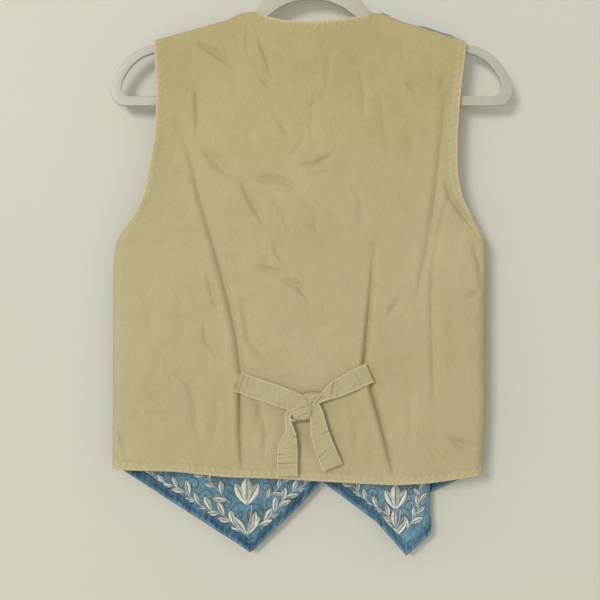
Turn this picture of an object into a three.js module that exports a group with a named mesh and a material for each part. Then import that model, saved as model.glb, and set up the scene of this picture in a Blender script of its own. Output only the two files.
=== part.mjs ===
// A denim-and-twill waistcoat hung on a flat hanger, with a half belt knotted at the back.
//
// Millimetres. +X runs along the hanger, +Z is up, the garment's back faces -Y and its
// front faces +Y. The origin is the inside of the hook's crook, where a rail carries it.
// Places on the garment are given by x and by "down", the distance below the two
// shoulder neck points. The hanger's own middle plane is y = 0.
import * as THREE from 'three';

// ---------------------------------------------------------------- driving dimensions
const NECK_POINT_Z = -104; // height of the shoulder neck points
const TWILL = 1.2; // wall of the back panel
const DENIM = 1.4; // wall of the two fronts
const HEM_FOLD = 1.0; // wall of the turned-in border on the fronts
const TAPE = 1.8; // wall of the belt, two layers and their seam
const SEAM_GAP = 0.3; // between pieces sewn edge to edge
const LAY_GAP = 0.8; // between a lifted piece and the panel it lies on
const SHOULDER_ROUND = 6.5; // radius of the cloth over the hanger's arm
const SIDE_ROUND = 12; // radius of the cloth round a side seam
const UNDERARM = 254; // down to the foot of the armholes
const BORDER_WIDTH = 11; // turned-in border along the fronts' points
const PLACKET_STEP = 3.8; // the wearer's right front lies this far over the left
const FOLD_RADIUS = 2.6; // radius of each crease of the pleat in one front
const FOLD_MIDDLE = 115; // x of the middle of that pleat
const FOLD_REACH = 18.5; // half its overlap at the hem
const BUTTON_RADIUS = 8.5;
const BUTTON_THICKNESS = 3;
const BUTTON_X = 10;
const BUTTON_FIRST_DOWN = 262;
const BUTTON_PITCH = 58;
const BUTTON_COUNT = 5;
const HANGER_HALF_WIDTH = 225;
const HANGER_THICKNESS = 5;
const HANGER_BEVEL = 0.8;
const HOOK_RADIUS = 22; // middle of the hook's rod
const HOOK_ROD = 3; // radius of the rod
const HOOK_START_ANGLE = -50; // degrees, where the stem's bend meets the crook's arc
const HOOK_ARC = 250; // degrees of that arc, over the top to its free end

// ---------------------------------------------------------------- tables
// Outline of the back: its left and right edges and how far it stands off the middle plane.
const BACK_EDGES = [
  { down: 0, left: -175, right: 173, depth: 6.5 },
  { down: 35, left: -175, right: 172, depth: 6.5 },
  { down: 95, left: -172, right: 165, depth: 7.5 },
  { down: 138, left: -174, right: 161.5, depth: 8.5 },
  { down: 180, left: -181, right: 161.5, depth: 10 },
  { down: 206, left: -186.5, right: 166, depth: 11 },
  { down: 223, left: -194.5, right: 174.5, depth: 11.5 },
  { down: 239, left: -206, right: 184.5, depth: 12 },
  { down: 254, left: -217.5, right: 194, depth: 12.5 },
  { down: 280, left: -221, right: 194, depth: 13.5 },
  { down: 366, left: -221.5, right: 193.5, depth: 14 },
  { down: 439, left: -221.5, right: 194, depth: 13 },
  { down: 515, left: -222, right: 191, depth: 12.5 },
];
// Top edge of the back, from the wearer's left shoulder tip over the neckline to the right.
const BACK_TOP = [
  { x: -175, down: 31 },
  { x: -146, down: 23 },
  { x: -93, down: 8 },
  { x: -77, down: 0 },
  { x: -64, down: 0 },
  { x: -50, down: 6 },
  { x: -30, down: 10.5 },
  { x: -10, down: 11.6 },
  { x: 11, down: 11.4 },
  { x: 34, down: 9 },
  { x: 56, down: 5.5 },
  { x: 69, down: 1.5 },
  { x: 79, down: 1 },
  { x: 99, down: 9.5 },
  { x: 119, down: 15.5 },
  { x: 173, down: 32 },
];
const BACK_HEM = [
  { x: -222, down: 508.5 },
  { x: -150, down: 510.5 },
  { x: -97, down: 516.5 },
  { x: -37, down: 518.5 },
  { x: 31, down: 522.5 },
  { x: 90, down: 525.7 },
  { x: 132, down: 523.5 },
  { x: 164, down: 518.6 },
  { x: 191, down: 514 },
];
// The three long folds of the back, valleys this deep. The first two run through the
// belt's stitched ends, the third falls from the wearer's right armhole.
const BACK_FOLDS = {
  left: [
    { down: 0, x: -158, deep: 0 },
    { down: 100, x: -158, deep: 0 },
    { down: 138, x: -149, deep: 1 },
    { down: 180, x: -130.5, deep: 2.5 },
    { down: 239, x: -117.5, deep: 3.5 },
    { down: 299, x: -104.5, deep: 4 },
    { down: 366, x: -88, deep: 4.5 },
    { down: 401, x: -79.5, deep: 4.5 },
    { down: 424, x: -81, deep: 4 },
    { down: 465, x: -80, deep: 3.5 },
    { down: 515, x: -75.5, deep: 2.5 },
  ],
  middle: [
    { down: 0, x: 72, deep: 0 },
    { down: 240, x: 70, deep: 0 },
    { down: 275, x: 69, deep: 1.5 },
    { down: 321, x: 64, deep: 3 },
    { down: 389, x: 57, deep: 4 },
    { down: 415, x: 65.5, deep: 4 },
    { down: 454, x: 75.5, deep: 3.5 },
    { down: 515, x: 88.5, deep: 2.5 },
  ],
  side: [
    { down: 0, x: 154, deep: 0 },
    { down: 80, x: 152, deep: 0 },
    { down: 177, x: 142, deep: 2.5 },
    { down: 239, x: 140, deep: 3.5 },
    { down: 266, x: 136, deep: 3.5 },
    { down: 310, x: 133, deep: 3 },
    { down: 400, x: 134, deep: 2.5 },
    { down: 465, x: 134, deep: 1.5 },
    { down: 515, x: 135, deep: 0.5 },
  ],
};
const FOLD_HALF_WIDTH = 9;

// Both fronts: armhole and side edge, the fold line or point line, and the neck and
// centre edge. Each front stands off the middle plane by depth.
const FRONT_DEPTHS = [
  { down: 0, depth: 6.5 },
  { down: 60, depth: 6.8 },
  { down: 180, depth: 9.5 },
  { down: 254, depth: 11.2 },
  { down: 620, depth: 11.2 },
];
const LEFT_FRONT_EDGES = [
  { down: 0, side: -175, point: -120, inner: -67 },
  { down: 35, side: -175, point: -119, inner: -55 },
  { down: 95, side: -163, point: -112, inner: -33 },
  { down: 138, side: -161, point: -108, inner: -17 },
  { down: 180, side: -166, point: -105, inner: -2 },
  { down: 206, side: -175, point: -103, inner: 8 },
  { down: 223, side: -187, point: -102, inner: 14 },
  { down: 239, side: -202, point: -100, inner: 20 },
  { down: 254, side: -217.5, point: -98, inner: 22 },
  { down: 280, side: -221, point: -94, inner: 22 },
  { down: 439, side: -221.5, point: -79, inner: 22 },
  { down: 515, side: -222, point: -74, inner: 22 },
  { down: 607, side: -222, point: -70, inner: 22 },
];
const LEFT_FRONT_HEM = [
  { x: -222, down: 508.5 },
  { x: -213, down: 513.7 },
  { x: -77.5, down: 600.9 },
  { x: -70, down: 606.6 },
  { x: -66.5, down: 605 },
  { x: -13, down: 553.4 },
  { x: 22, down: 515.7 },
];
const RIGHT_FRONT_EDGES = [
  { down: 0, side: 173, inner: 74 },
  { down: 35, side: 172, inner: 63 },
  { down: 95, side: 157, inner: 44 },
  { down: 138, side: 151, inner: 30 },
  { down: 180, side: 150, inner: 17 },
  { down: 206, side: 156, inner: 9 },
  { down: 223, side: 166, inner: 4 },
  { down: 239, side: 179, inner: 0 },
  { down: 254, side: 194, inner: -2 },
  { down: 280, side: 194, inner: -2 },
  { down: 439, side: 194, inner: -2 },
  { down: 515, side: 191, inner: -2 },
  { down: 611, side: 191, inner: -2 },
];
// Lower edge of the wearer's right front, along the cloth itself: "along" runs from 0 at
// the side seam to 1 at the first crease, 2 at the second and 3 at the centre edge.
const RIGHT_FRONT_HEM = [
  { along: 0, down: 513.5 },
  { along: 0.23, down: 525 },
  { along: 0.59, down: 540 },
  { along: 1, down: 556 },
  { along: 2, down: 588 },
  { along: 2.18, down: 609.5 },
  { along: 2.43, down: 571.6 },
  { along: 2.9, down: 527 },
  { along: 3, down: 516 },
];
// The belt: centre lines, widths and how far each stretch is lifted off the back.
const BELT = {
  tie_left_strap: [
    { x: -82, down: 411.5, width: 22.5, lift: 0.7 },
    { x: -62, down: 418.8, width: 22.5, lift: 1 },
    { x: -41, down: 426.4, width: 22.5, lift: 1.5 },
    { x: -22, down: 433.3, width: 21, lift: 3.5 },
  ],
  tie_right_strap: [
    { x: 66, down: 401, width: 22.5, lift: 0.4 },
    { x: 48, down: 410.5, width: 22, lift: 0.8 },
    { x: 27, down: 421.5, width: 19, lift: 1.8 },
    { x: 9.5, down: 430.6, width: 8, lift: 3.5 },
  ],
  tie_left_tail: [
    { x: -28, down: 450, width: 7, lift: 4 },
    { x: -25.5, down: 460, width: 8.5, lift: 4 },
    { x: -24, down: 471, width: 12, lift: 3.5 },
    { x: -26, down: 481, width: 21, lift: 2.5 },
    { x: -26.6, down: 499, width: 22.5, lift: 1 },
    { x: -26.6, down: 516.5, width: 22.5, lift: 0.6 },
  ],
  tie_right_tail: [
    { x: 8.5, down: 452, width: 15, lift: 4 },
    { x: 9, down: 464, width: 20, lift: 3 },
    { x: 13, down: 480, width: 22.5, lift: 1.8 },
    { x: 18.5, down: 494, width: 22.5, lift: 0.8 },
    { x: 24.2, down: 507.5, width: 22.5, lift: 0.6 },
  ],
};
const KNOT = { x: -6.5, down: 438, halfWidth: 17.5, halfHeight: 14.5, halfDepth: 6.5, lean: 0.45 };

// Hanger: right half of its outer outline from the top of the yoke to the middle of the
// bar, then of its inner outline from the yoke's arch.
const HANGER_OUTER = [
  { x: 0, down: -32 },
  { x: 20, down: -31 },
  { x: 40, down: -25.5 },
  { x: 54, down: -16 },
  { x: 67, down: 2.4 },
  { x: 93, down: 11.4 },
  { x: 146, down: 26.6 },
  { x: 176, down: 35.6 },
  { x: 189, down: 39.2 },
  { x: 202, down: 47 },
  { x: 212, down: 57 },
  { x: 220, down: 70 },
  { x: HANGER_HALF_WIDTH, down: 84 },
  { x: 224, down: 93 },
  { x: 219, down: 100.5 },
  { x: 210, down: 104 },
  { x: 60, down: 104 },
];
const HANGER_INNER = [
  { x: 0, down: -15 },
  { x: 18, down: -13 },
  { x: 35, down: -6 },
  { x: 50, down: 5 },
  { x: 62, down: 13 },
  { x: 93, down: 21.8 },
  { x: 146, down: 36.8 },
  { x: 174, down: 44.6 },
  { x: 186, down: 48.6 },
  { x: 196, down: 55 },
  { x: 204.5, down: 64.5 },
  { x: 210.5, down: 75 },
  { x: 212, down: 86 },
  { x: 209, down: 91 },
  { x: 202, down: 93 },
  { x: 60, down: 93 },
];

// Where the grids have their columns and rows, as shares of each stretch.
const BACK_COLUMNS = [
  [0, 0.015, 0.04, 0.09, 0.2, 0.37, 0.55, 0.75, 0.87, 0.95],
  [0, 0.05, 0.12, 0.24, 0.375, 0.41, 0.47, 0.56, 0.645, 0.735, 0.835, 0.93],
  [0, 0.085, 0.33, 0.6, 0.85, 0.94],
  [0, 0.12, 0.35, 0.6, 0.8, 0.91, 0.965, 1],
];
const LEFT_FRONT_COLUMNS = [
  [0, 0.02, 0.05, 0.1, 0.25, 0.5, 0.75],
  [0, 0.06, 0.25, 0.5, 0.7, 0.85, 1],
];
const SIDE_PART_COLUMNS = [0, 0.03, 0.075, 0.15, 0.23, 0.4, 0.59, 0.8];
const CENTRE_PART_COLUMNS = [0.09, 0.18, 0.28, 0.43, 0.6, 0.75, 0.9, 1];
const CREASE_STEPS = 4;
const CREASE_LENGTH = Math.PI * FOLD_RADIUS; // cloth in each crease, flat or turned
const TOP_ROWS = [0, 1.2, 3.5]; // mm below the top edge, over the hanger's arm
const MAIN_ROWS = [
  0, 0.06, 0.13, 0.2, 0.265, 0.327, 0.36, 0.395, 0.43, 0.459, 0.48, 0.515, 0.57, 0.63,
  0.69, 0.75, 0.8, 0.85, 0.9, 0.95, 1,
];

// ---------------------------------------------------------------- small helpers
const lerp = (a, b, t) => a + (b - a) * t;
const clamp01 = (t) => Math.min(1, Math.max(0, t));
const smooth = (from, to, value) => {
  const t = clamp01((value - from) / (to - from));
  return t * t * (3 - 2 * t);
};
// Rise of a quarter circle: 0 at the edge, 1 one radius in.
const quarterRound = (t) => Math.sqrt(1 - (1 - clamp01(t)) ** 2);

// Straight-line reading of one named column of a table, by the key column.
function read(table, key, column, at) {
  if (at <= table[0][key]) return table[0][column];
  for (let i = 1; i < table.length; i += 1) {
    const a = table[i - 1];
    const b = table[i];
    if (at <= b[key]) return lerp(a[column], b[column], (at - a[key]) / (b[key] - a[key]));
  }
  return table[table.length - 1][column];
}
const place = (x, y, down) => new THREE.Vector3(x, y, NECK_POINT_Z - down);

// ---------------------------------------------------------------- walls from grids
// Unit normals of a grid of points, column direction crossed with row direction.
// fixed(row, column) may give a direction and a weight for seam edges.
function gridNormals(points, fixed) {
  const rows = points.length;
  const columns = points[0].length;
  return points.map((line, r) => line.map((point, c) => {
    const across = points[r][Math.min(c + 1, columns - 1)].clone();
    across.sub(points[r][Math.max(c - 1, 0)]);
    const along = points[Math.min(r + 1, rows - 1)][c].clone();
    along.sub(points[Math.max(r - 1, 0)][c]);
    const normal = across.cross(along).normalize();
    const hold = fixed ? fixed(r, c, point) : null;
    return hold ? normal.lerp(hold.direction, hold.weight).normalize() : normal;
  }));
}

// One closed wall: the grid moved along its normals by near and by far, with its rims.
function wall(points, normals, near, far) {
  const rows = points.length;
  const columns = points[0].length;
  const positions = [];
  for (const distance of [near, far]) {
    points.forEach((line, r) => line.forEach((point, c) => {
      const moved = normals[r][c].clone().multiplyScalar(distance).add(point);
      positions.push(moved.x, moved.y, moved.z);
    }));
  }
  const layer = rows * columns;
  const at = (side, r, c) => side * layer + r * columns + c;
  const faces = [];
  const quad = (a, b, c, d) => faces.push(a, b, c, a, c, d);
  for (let r = 0; r < rows - 1; r += 1) {
    for (let c = 0; c < columns - 1; c += 1) {
      quad(at(1, r, c), at(1, r, c + 1), at(1, r + 1, c + 1), at(1, r + 1, c));
      quad(at(0, r, c), at(0, r + 1, c), at(0, r + 1, c + 1), at(0, r, c + 1));
    }
    quad(at(0, r, 0), at(1, r, 0), at(1, r + 1, 0), at(0, r + 1, 0));
    const e = columns - 1;
    quad(at(0, r, e), at(0, r + 1, e), at(1, r + 1, e), at(1, r, e));
  }
  for (let c = 0; c < columns - 1; c += 1) {
    quad(at(0, 0, c), at(0, 0, c + 1), at(1, 0, c + 1), at(1, 0, c));
    const e = rows - 1;
    quad(at(0, e, c), at(1, e, c), at(1, e, c + 1), at(0, e, c + 1));
  }
  const geometry = new THREE.BufferGeometry();
  geometry.setAttribute('position', new THREE.Float32BufferAttribute(positions, 3));
  geometry.setIndex(faces);
  geometry.computeVertexNormals();
  return geometry;
}

function cloth(name, geometry, color, roughness) {
  const material = new THREE.MeshStandardMaterial({ color, roughness, metalness: 0 });
  const mesh = new THREE.Mesh(geometry, material);
  mesh.name = name;
  return mesh;
}

const KHAKI = 0xb5a778;
const DENIM_BLUE = 0x66839a;
const DENIM_DARK = 0x4a6b84;
const HANGER_GREY = 0xb3b09a;
const BUTTON_BROWN = 0x6d5a45;

// ---------------------------------------------------------------- shared seam shapes
// How firmly the top edge is held to the shoulder seam: 1 on the shoulders, 0 at the neck.
const shoulderHold = (x) => (x < 0 ? smooth(-58, -72, x) : smooth(62, 76, x));
// The same for the side seam, 0 along the armhole.
const sideHold = (down) => smooth(UNDERARM - 42, UNDERARM, down);
const overArm = (x, below) => 1 - shoulderHold(x) * (1 - quarterRound(below / SHOULDER_ROUND));
const roundSide = (inward, down) => 1 - sideHold(down) * (1 - quarterRound(inward / SIDE_ROUND));

// Rows of one column of a panel, from its top edge to its hem. lastRows are heights
// above the hem, and the main rows end at the first of them.
function panelDowns(top, hem, lastRows) {
  const start = top + SHOULDER_ROUND;
  const end = hem - lastRows[0];
  const main = MAIN_ROWS.map((share) => lerp(start, end, share));
  const last = lastRows.slice(1).map((above) => hem - above);
  return [...TOP_ROWS.map((below) => top + below), ...main, ...last];
}

// Directions for the seam edges of a panel; facing is 1 where its normals point out of
// the garment and -1 where they point in.
function seamHold(facing, sideColumns) {
  return (r, c, point) => {
    const down = NECK_POINT_Z - point.z;
    if (r === 0) {
      return { direction: new THREE.Vector3(0, 0, facing), weight: shoulderHold(point.x) };
    }
    if (sideColumns.includes(c)) {
      const outward = Math.sign(point.x) * facing;
      return { direction: new THREE.Vector3(outward, 0, 0), weight: sideHold(down) };
    }
    return null;
  };
}

// ---------------------------------------------------------------- back panel
const backTop = (x) => read(BACK_TOP, 'x', 'down', x);
const backHem = (x) => read(BACK_HEM, 'x', 'down', x);
const backEdge = (side, down) => read(BACK_EDGES, 'down', side, down);
const foldX = (name, down) => read(BACK_FOLDS[name], 'down', 'x', down);

function backY(x, down) {
  const inward = Math.min(x - backEdge('left', down), backEdge('right', down) - x);
  let depth = backEdge('depth', down);
  for (const name of Object.keys(BACK_FOLDS)) {
    const deep = read(BACK_FOLDS[name], 'down', 'deep', down);
    depth -= deep * Math.max(0, 1 - Math.abs(x - foldX(name, down)) / FOLD_HALF_WIDTH);
  }
  const shaped = depth * roundSide(inward, down) * overArm(x, down - backTop(x));
  return -(SEAM_GAP / 2 + shaped);
}

function backColumnX(column, down) {
  const lines = [
    backEdge('left', down),
    foldX('left', down),
    foldX('middle', down),
    foldX('side', down),
    backEdge('right', down),
  ];
  return lerp(lines[column.stretch], lines[column.stretch + 1], column.share);
}

const listColumns = (shares) => shares.flatMap(
  (list, stretch) => list.map((share) => ({ stretch, share })),
);

function backPanel() {
  const columns = listColumns(BACK_COLUMNS);
  const downs = columns.map((column) => {
    const top = backTop(backColumnX(column, 0));
    const hem = backHem(backColumnX(column, backHem(0)));
    return panelDowns(top, hem, [0]);
  });
  const points = downs[0].map((_, r) => columns.map((column, c) => {
    const down = downs[c][r];
    const x = backColumnX(column, down);
    return place(x, backY(x, down), down);
  }));
  const last = columns.length - 1;
  const normals = gridNormals(points, seamHold(-1, [0, last]));
  return cloth('back_panel', wall(points, normals, -TWILL / 2, TWILL / 2), KHAKI, 0.85);
}

// ---------------------------------------------------------------- fronts
const frontDepth = (down) => read(FRONT_DEPTHS, 'down', 'depth', down);

// Height of the border's rows above the hem, allowing for the mean slope of the points.
const POINT_SLOPE = 0.85;
const BORDER_RISE = BORDER_WIDTH * Math.hypot(1, POINT_SLOPE);
const BORDER_ROWS = [BORDER_RISE, BORDER_RISE / 2, 0];

function leftFrontX(column, down) {
  const edge = (name) => read(LEFT_FRONT_EDGES, 'down', name, down);
  const lines = [edge('side'), edge('point'), edge('inner')];
  return lerp(lines[column.stretch], lines[column.stretch + 1], column.share);
}

// Down to the hem at a column, whose x shifts a little with down itself.
function leftFrontHem(column) {
  let down = UNDERARM * 2;
  for (let pass = 0; pass < 4; pass += 1) {
    down = read(LEFT_FRONT_HEM, 'x', 'down', leftFrontX(column, down));
  }
  return down;
}

function leftFrontPoint(column, down, top) {
  const x = leftFrontX(column, down);
  const inward = x - read(LEFT_FRONT_EDGES, 'down', 'side', down);
  const shaped = frontDepth(down) * roundSide(inward, down) * overArm(x, down - top);
  return place(x, SEAM_GAP / 2 + shaped, down);
}

function leftFront() {
  const columns = listColumns(LEFT_FRONT_COLUMNS);
  const tops = columns.map((column) => Math.max(0, backTop(leftFrontX(column, 0))));
  const downs = columns.map(
    (column, c) => panelDowns(tops[c], leftFrontHem(column), BORDER_ROWS),
  );
  const points = downs[0].map((_, r) => columns.map(
    (column, c) => leftFrontPoint(column, downs[c][r], tops[c]),
  ));
  const normals = gridNormals(points, seamHold(1, [0]));
  return { points, normals };
}

// Cross-section of the wearer's right front at one height, from the side seam to the
// centre edge. A pleat in it turns back on itself: flat at the armhole, it closes
// downwards into an S of two creases with a return layer between.
function rightFrontSection(down) {
  const side = read(RIGHT_FRONT_EDGES, 'down', 'side', down);
  const inner = read(RIGHT_FRONT_EDGES, 'down', 'inner', down);
  const closing = smooth(UNDERARM - 20, UNDERARM + 110, down);
  const turn = Math.PI * 0.99 * closing;
  const half = lerp(0.6, FOLD_REACH - FOLD_RADIUS, smooth(UNDERARM + 45, 505, down));
  const depth = frontDepth(down);
  const middleY = depth + FOLD_RADIUS * closing;
  const crease = [[-Math.cos(turn) * half, -Math.sin(turn) * half]];
  for (let step = 0; step < CREASE_STEPS; step += 1) {
    const heading = turn * (1 - (step + 0.5) / CREASE_STEPS);
    const [x, y] = crease[step];
    crease.push([
      x - Math.cos(heading) * CREASE_LENGTH / CREASE_STEPS,
      y - Math.sin(heading) * CREASE_LENGTH / CREASE_STEPS,
    ]);
  }
  const first = crease.map(([x, y]) => [FOLD_MIDDLE - x, middleY - y]).reverse();
  const second = crease.map(([x, y]) => [FOLD_MIDDLE + x, middleY + y]);
  const sidePart = SIDE_PART_COLUMNS.map((share) => [lerp(side, first[0][0], share), first[0][1]]);
  const [fromX, fromY] = second[second.length - 1];
  const innerY = depth + PLACKET_STEP * smooth(150, 212, down);
  const centrePart = CENTRE_PART_COLUMNS.map((share) => [
    lerp(fromX, inner, share),
    lerp(fromY, innerY, smooth(0.3, 0.75, share)),
  ]);
  return [...sidePart, ...first, [FOLD_MIDDLE, middleY], ...second, ...centrePart];
}

// "along" of every column of that section, for its hem.
function rightFrontAlong() {
  const creaseCount = CREASE_STEPS + 1;
  const foldCount = creaseCount * 2 + 1;
  const fold = Array.from({ length: foldCount }, (_, i) => 1 + i / (foldCount - 1));
  return [...SIDE_PART_COLUMNS, ...fold, ...CENTRE_PART_COLUMNS.map((share) => 2 + share)];
}

function rightFront() {
  const along = rightFrontAlong();
  const topSection = rightFrontSection(0);
  const tops = topSection.map(([x]) => Math.max(0, backTop(x)));
  const downs = along.map((value, c) => {
    const hem = read(RIGHT_FRONT_HEM, 'along', 'down', value);
    return panelDowns(tops[c], hem, BORDER_ROWS);
  });
  const points = downs[0].map((_, r) => along.map((value, c) => {
    const down = downs[c][r];
    const [x, y] = rightFrontSection(down)[c];
    const inward = read(RIGHT_FRONT_EDGES, 'down', 'side', down) - x;
    const shaped = y * roundSide(inward, down) * overArm(x, down - tops[c]);
    return place(x, SEAM_GAP / 2 + shaped, down);
  }));
  const normals = gridNormals(points, seamHold(-1, [0]));
  return { points, normals };
}

// A front and the turned-in border on the inside of its lower edge. inside is the sign
// of the normals that point into the garment.
function frontPieces(name, panel, inside) {
  const { points, normals } = panel;
  const half = DENIM / 2;
  const from = inside * (half + SEAM_GAP);
  const to = inside * (half + SEAM_GAP + HEM_FOLD);
  const near = Math.min(from, to);
  const far = Math.max(from, to);
  const border = wall(points.slice(-3), normals.slice(-3), near, far);
  return [
    cloth(name, wall(points, normals, -half, half), DENIM_BLUE, 0.9),
    cloth(`${name}_border`, border, DENIM_DARK, 0.9),
  ];
}

// ---------------------------------------------------------------- belt
const BELT_COLUMNS = [-1, -0.33, 0.33, 1];
const BELT_STEPS = 3; // rows between two rows of the table

function beltStretch(name) {
  const table = BELT[name];
  const keys = ['x', 'down', 'width', 'lift'];
  const rows = [];
  for (let i = 0; i < table.length - 1; i += 1) {
    for (let step = 0; step < BELT_STEPS; step += 1) {
      const t = step / BELT_STEPS;
      rows.push(Object.fromEntries(
        keys.map((key) => [key, lerp(table[i][key], table[i + 1][key], t)]),
      ));
    }
  }
  rows.push(table[table.length - 1]);
  const points = rows.map((row, i) => {
    const before = rows[Math.max(i - 1, 0)];
    const after = rows[Math.min(i + 1, rows.length - 1)];
    const run = new THREE.Vector2(after.x - before.x, after.down - before.down).normalize();
    return BELT_COLUMNS.map((share) => {
      const x = row.x - run.y * share * row.width / 2;
      const down = row.down + run.x * share * row.width / 2;
      const y = backY(x, down) - TWILL / 2 - LAY_GAP - TAPE / 2 - row.lift;
      return place(x, y, down);
    });
  });
  const normals = gridNormals(points);
  return cloth(name, wall(points, normals, -TAPE / 2, TAPE / 2), KHAKI, 0.8);
}

// The knot: a flattened, leaning pad with the wrapped band as a raised ring round it.
function knot() {
  const geometry = new THREE.SphereGeometry(1, 18, 12);
  const position = geometry.attributes.position;
  const behind = backY(KNOT.x, KNOT.down) - TWILL / 2 - LAY_GAP - 1.2 - KNOT.halfDepth;
  const centre = place(KNOT.x, behind, KNOT.down);
  for (let i = 0; i < position.count; i += 1) {
    const unit = new THREE.Vector3().fromBufferAttribute(position, i);
    const band = 1 + 0.1 * Math.exp(-((unit.x - unit.z) ** 2) * 3);
    const square = 1 / Math.max(0.86, Math.hypot(unit.x, unit.z) ** 0.4 + 0.12);
    const x = unit.x * KNOT.halfWidth * square;
    const z = unit.z * KNOT.halfHeight * square;
    const turned = new THREE.Vector2(x, z).rotateAround(new THREE.Vector2(), KNOT.lean);
    const y = unit.y * KNOT.halfDepth * band;
    position.setXYZ(i, centre.x + turned.x, centre.y + y, centre.z + turned.y);
  }
  geometry.computeVertexNormals();
  return cloth('tie_knot', geometry, KHAKI, 0.8);
}

// ---------------------------------------------------------------- buttons
function buttons() {
  return Array.from({ length: BUTTON_COUNT }, (_, i) => {
    const down = BUTTON_FIRST_DOWN + i * BUTTON_PITCH;
    const face = SEAM_GAP / 2 + frontDepth(down) + PLACKET_STEP + DENIM / 2;
    const shape = new THREE.CylinderGeometry(BUTTON_RADIUS, BUTTON_RADIUS, BUTTON_THICKNESS, 20);
    const material = new THREE.MeshStandardMaterial({ color: BUTTON_BROWN, roughness: 0.4 });
    const mesh = new THREE.Mesh(shape, material);
    mesh.name = `button_${i + 1}`;
    mesh.position.copy(place(BUTTON_X, face + LAY_GAP + BUTTON_THICKNESS / 2, down));
    return mesh;
  });
}

// ---------------------------------------------------------------- hanger
// A closed outline from its right half, mirrored, running counterclockwise.
function mirrored(table) {
  const right = table.map(({ x, down }) => new THREE.Vector2(x, NECK_POINT_Z - down));
  const left = right.filter(({ x }) => x > 0).map(({ x, y }) => new THREE.Vector2(-x, y));
  return [...left, ...right.reverse()];
}

function hangerFrame() {
  const shape = new THREE.Shape(mirrored(HANGER_OUTER));
  shape.holes.push(new THREE.Path(mirrored(HANGER_INNER)));
  const geometry = new THREE.ExtrudeGeometry(shape, {
    depth: HANGER_THICKNESS - HANGER_BEVEL * 2,
    bevelThickness: HANGER_BEVEL,
    bevelSize: HANGER_BEVEL,
    bevelOffset: -HANGER_BEVEL,
    bevelSegments: 1,
    steps: 1,
  });
  geometry.translate(0, 0, -HANGER_THICKNESS / 2 + HANGER_BEVEL);
  const material = new THREE.MeshStandardMaterial({ color: HANGER_GREY, roughness: 0.6 });
  const mesh = new THREE.Mesh(geometry, material);
  mesh.rotation.x = Math.PI / 2;
  mesh.name = 'hanger_frame';
  return mesh;
}

// The middle line of the hook's rod: a stem that bends aside into the crook's arc.
class HookPath extends THREE.Curve {
  constructor() {
    super();
    this.centreZ = HOOK_ROD - HOOK_RADIUS;
    this.footZ = NECK_POINT_Z - HANGER_OUTER[0].down + SEAM_GAP;
    this.stemShare = 0.4;
  }

  onArc(angle, target) {
    const z = this.centreZ + Math.sin(angle) * HOOK_RADIUS;
    return target.set(Math.cos(angle) * HOOK_RADIUS, 0, z);
  }

  getPoint(t, target = new THREE.Vector3()) {
    const start = THREE.MathUtils.degToRad(HOOK_START_ANGLE);
    if (t >= this.stemShare) {
      const s = (t - this.stemShare) / (1 - this.stemShare);
      return this.onArc(start + s * THREE.MathUtils.degToRad(HOOK_ARC), target);
    }
    this.onArc(start, target);
    const s = t / this.stemShare;
    const bend = clamp01((s - 0.35) / 0.65) ** 1.6;
    return target.set(target.x * bend, 0, lerp(this.footZ, target.z, s));
  }
}

function hangerHook() {
  const section = new THREE.Shape();
  section.absarc(0, 0, HOOK_ROD, 0, Math.PI * 2);
  const geometry = new THREE.ExtrudeGeometry(section, {
    extrudePath: new HookPath(),
    steps: 30,
    curveSegments: 5,
    bevelEnabled: false,
  });
  const material = new THREE.MeshStandardMaterial({ color: HANGER_GREY, roughness: 0.6 });
  const mesh = new THREE.Mesh(geometry, material);
  mesh.name = 'hanger_hook';
  return mesh;
}

// ---------------------------------------------------------------- assembly
const waistcoat = new THREE.Group();
waistcoat.add(backPanel());
waistcoat.add(...frontPieces('front_left', leftFront(), -1));
waistcoat.add(...frontPieces('front_right', rightFront(), 1));
waistcoat.add(...Object.keys(BELT).map(beltStretch));
waistcoat.add(knot());
waistcoat.add(...buttons());

const hanger = new THREE.Group();
hanger.add(hangerFrame(), hangerHook());

const group = new THREE.Group();
group.add(waistcoat, hanger);

export default group;
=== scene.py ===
import math

import bpy
import numpy as np
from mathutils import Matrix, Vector


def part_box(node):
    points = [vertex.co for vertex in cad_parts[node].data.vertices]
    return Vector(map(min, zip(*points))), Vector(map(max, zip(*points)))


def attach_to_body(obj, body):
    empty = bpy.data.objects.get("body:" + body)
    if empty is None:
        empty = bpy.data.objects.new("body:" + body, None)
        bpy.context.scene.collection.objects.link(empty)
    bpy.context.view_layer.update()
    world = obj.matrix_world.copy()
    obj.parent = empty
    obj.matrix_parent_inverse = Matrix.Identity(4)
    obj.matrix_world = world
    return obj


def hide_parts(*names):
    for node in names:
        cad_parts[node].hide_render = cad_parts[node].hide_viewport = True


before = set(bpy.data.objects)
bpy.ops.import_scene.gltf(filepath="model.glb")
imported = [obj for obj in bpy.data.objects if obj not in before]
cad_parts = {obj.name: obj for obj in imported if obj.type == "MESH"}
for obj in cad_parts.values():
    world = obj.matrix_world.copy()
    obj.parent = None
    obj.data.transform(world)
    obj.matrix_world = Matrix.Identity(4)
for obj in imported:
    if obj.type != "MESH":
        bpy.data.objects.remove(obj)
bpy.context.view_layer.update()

MM = 0.001
RNG = np.random.default_rng(7)
NECK_POINT_Z = -104
TWILL = 1.2
DENIM = 1.4
HEM_FOLD = 1.0
TAPE = 1.8
SEAM_GAP = 0.3
LAY_GAP = 0.8
SHOULDER_ROUND = 6.5
SIDE_ROUND = 12
UNDERARM = 254
PLACKET_STEP = 3.8
FOLD_RADIUS = 2.6
FOLD_MIDDLE = 115
FOLD_REACH = 18.5
FLATTENED = 0.99
HEM_BAND = 10
ARMHOLE_BAND = 8
NECK_BAND = 7
SEAM_INSET = 1.6
ARMHOLE_PUCKER = 7.2
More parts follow.
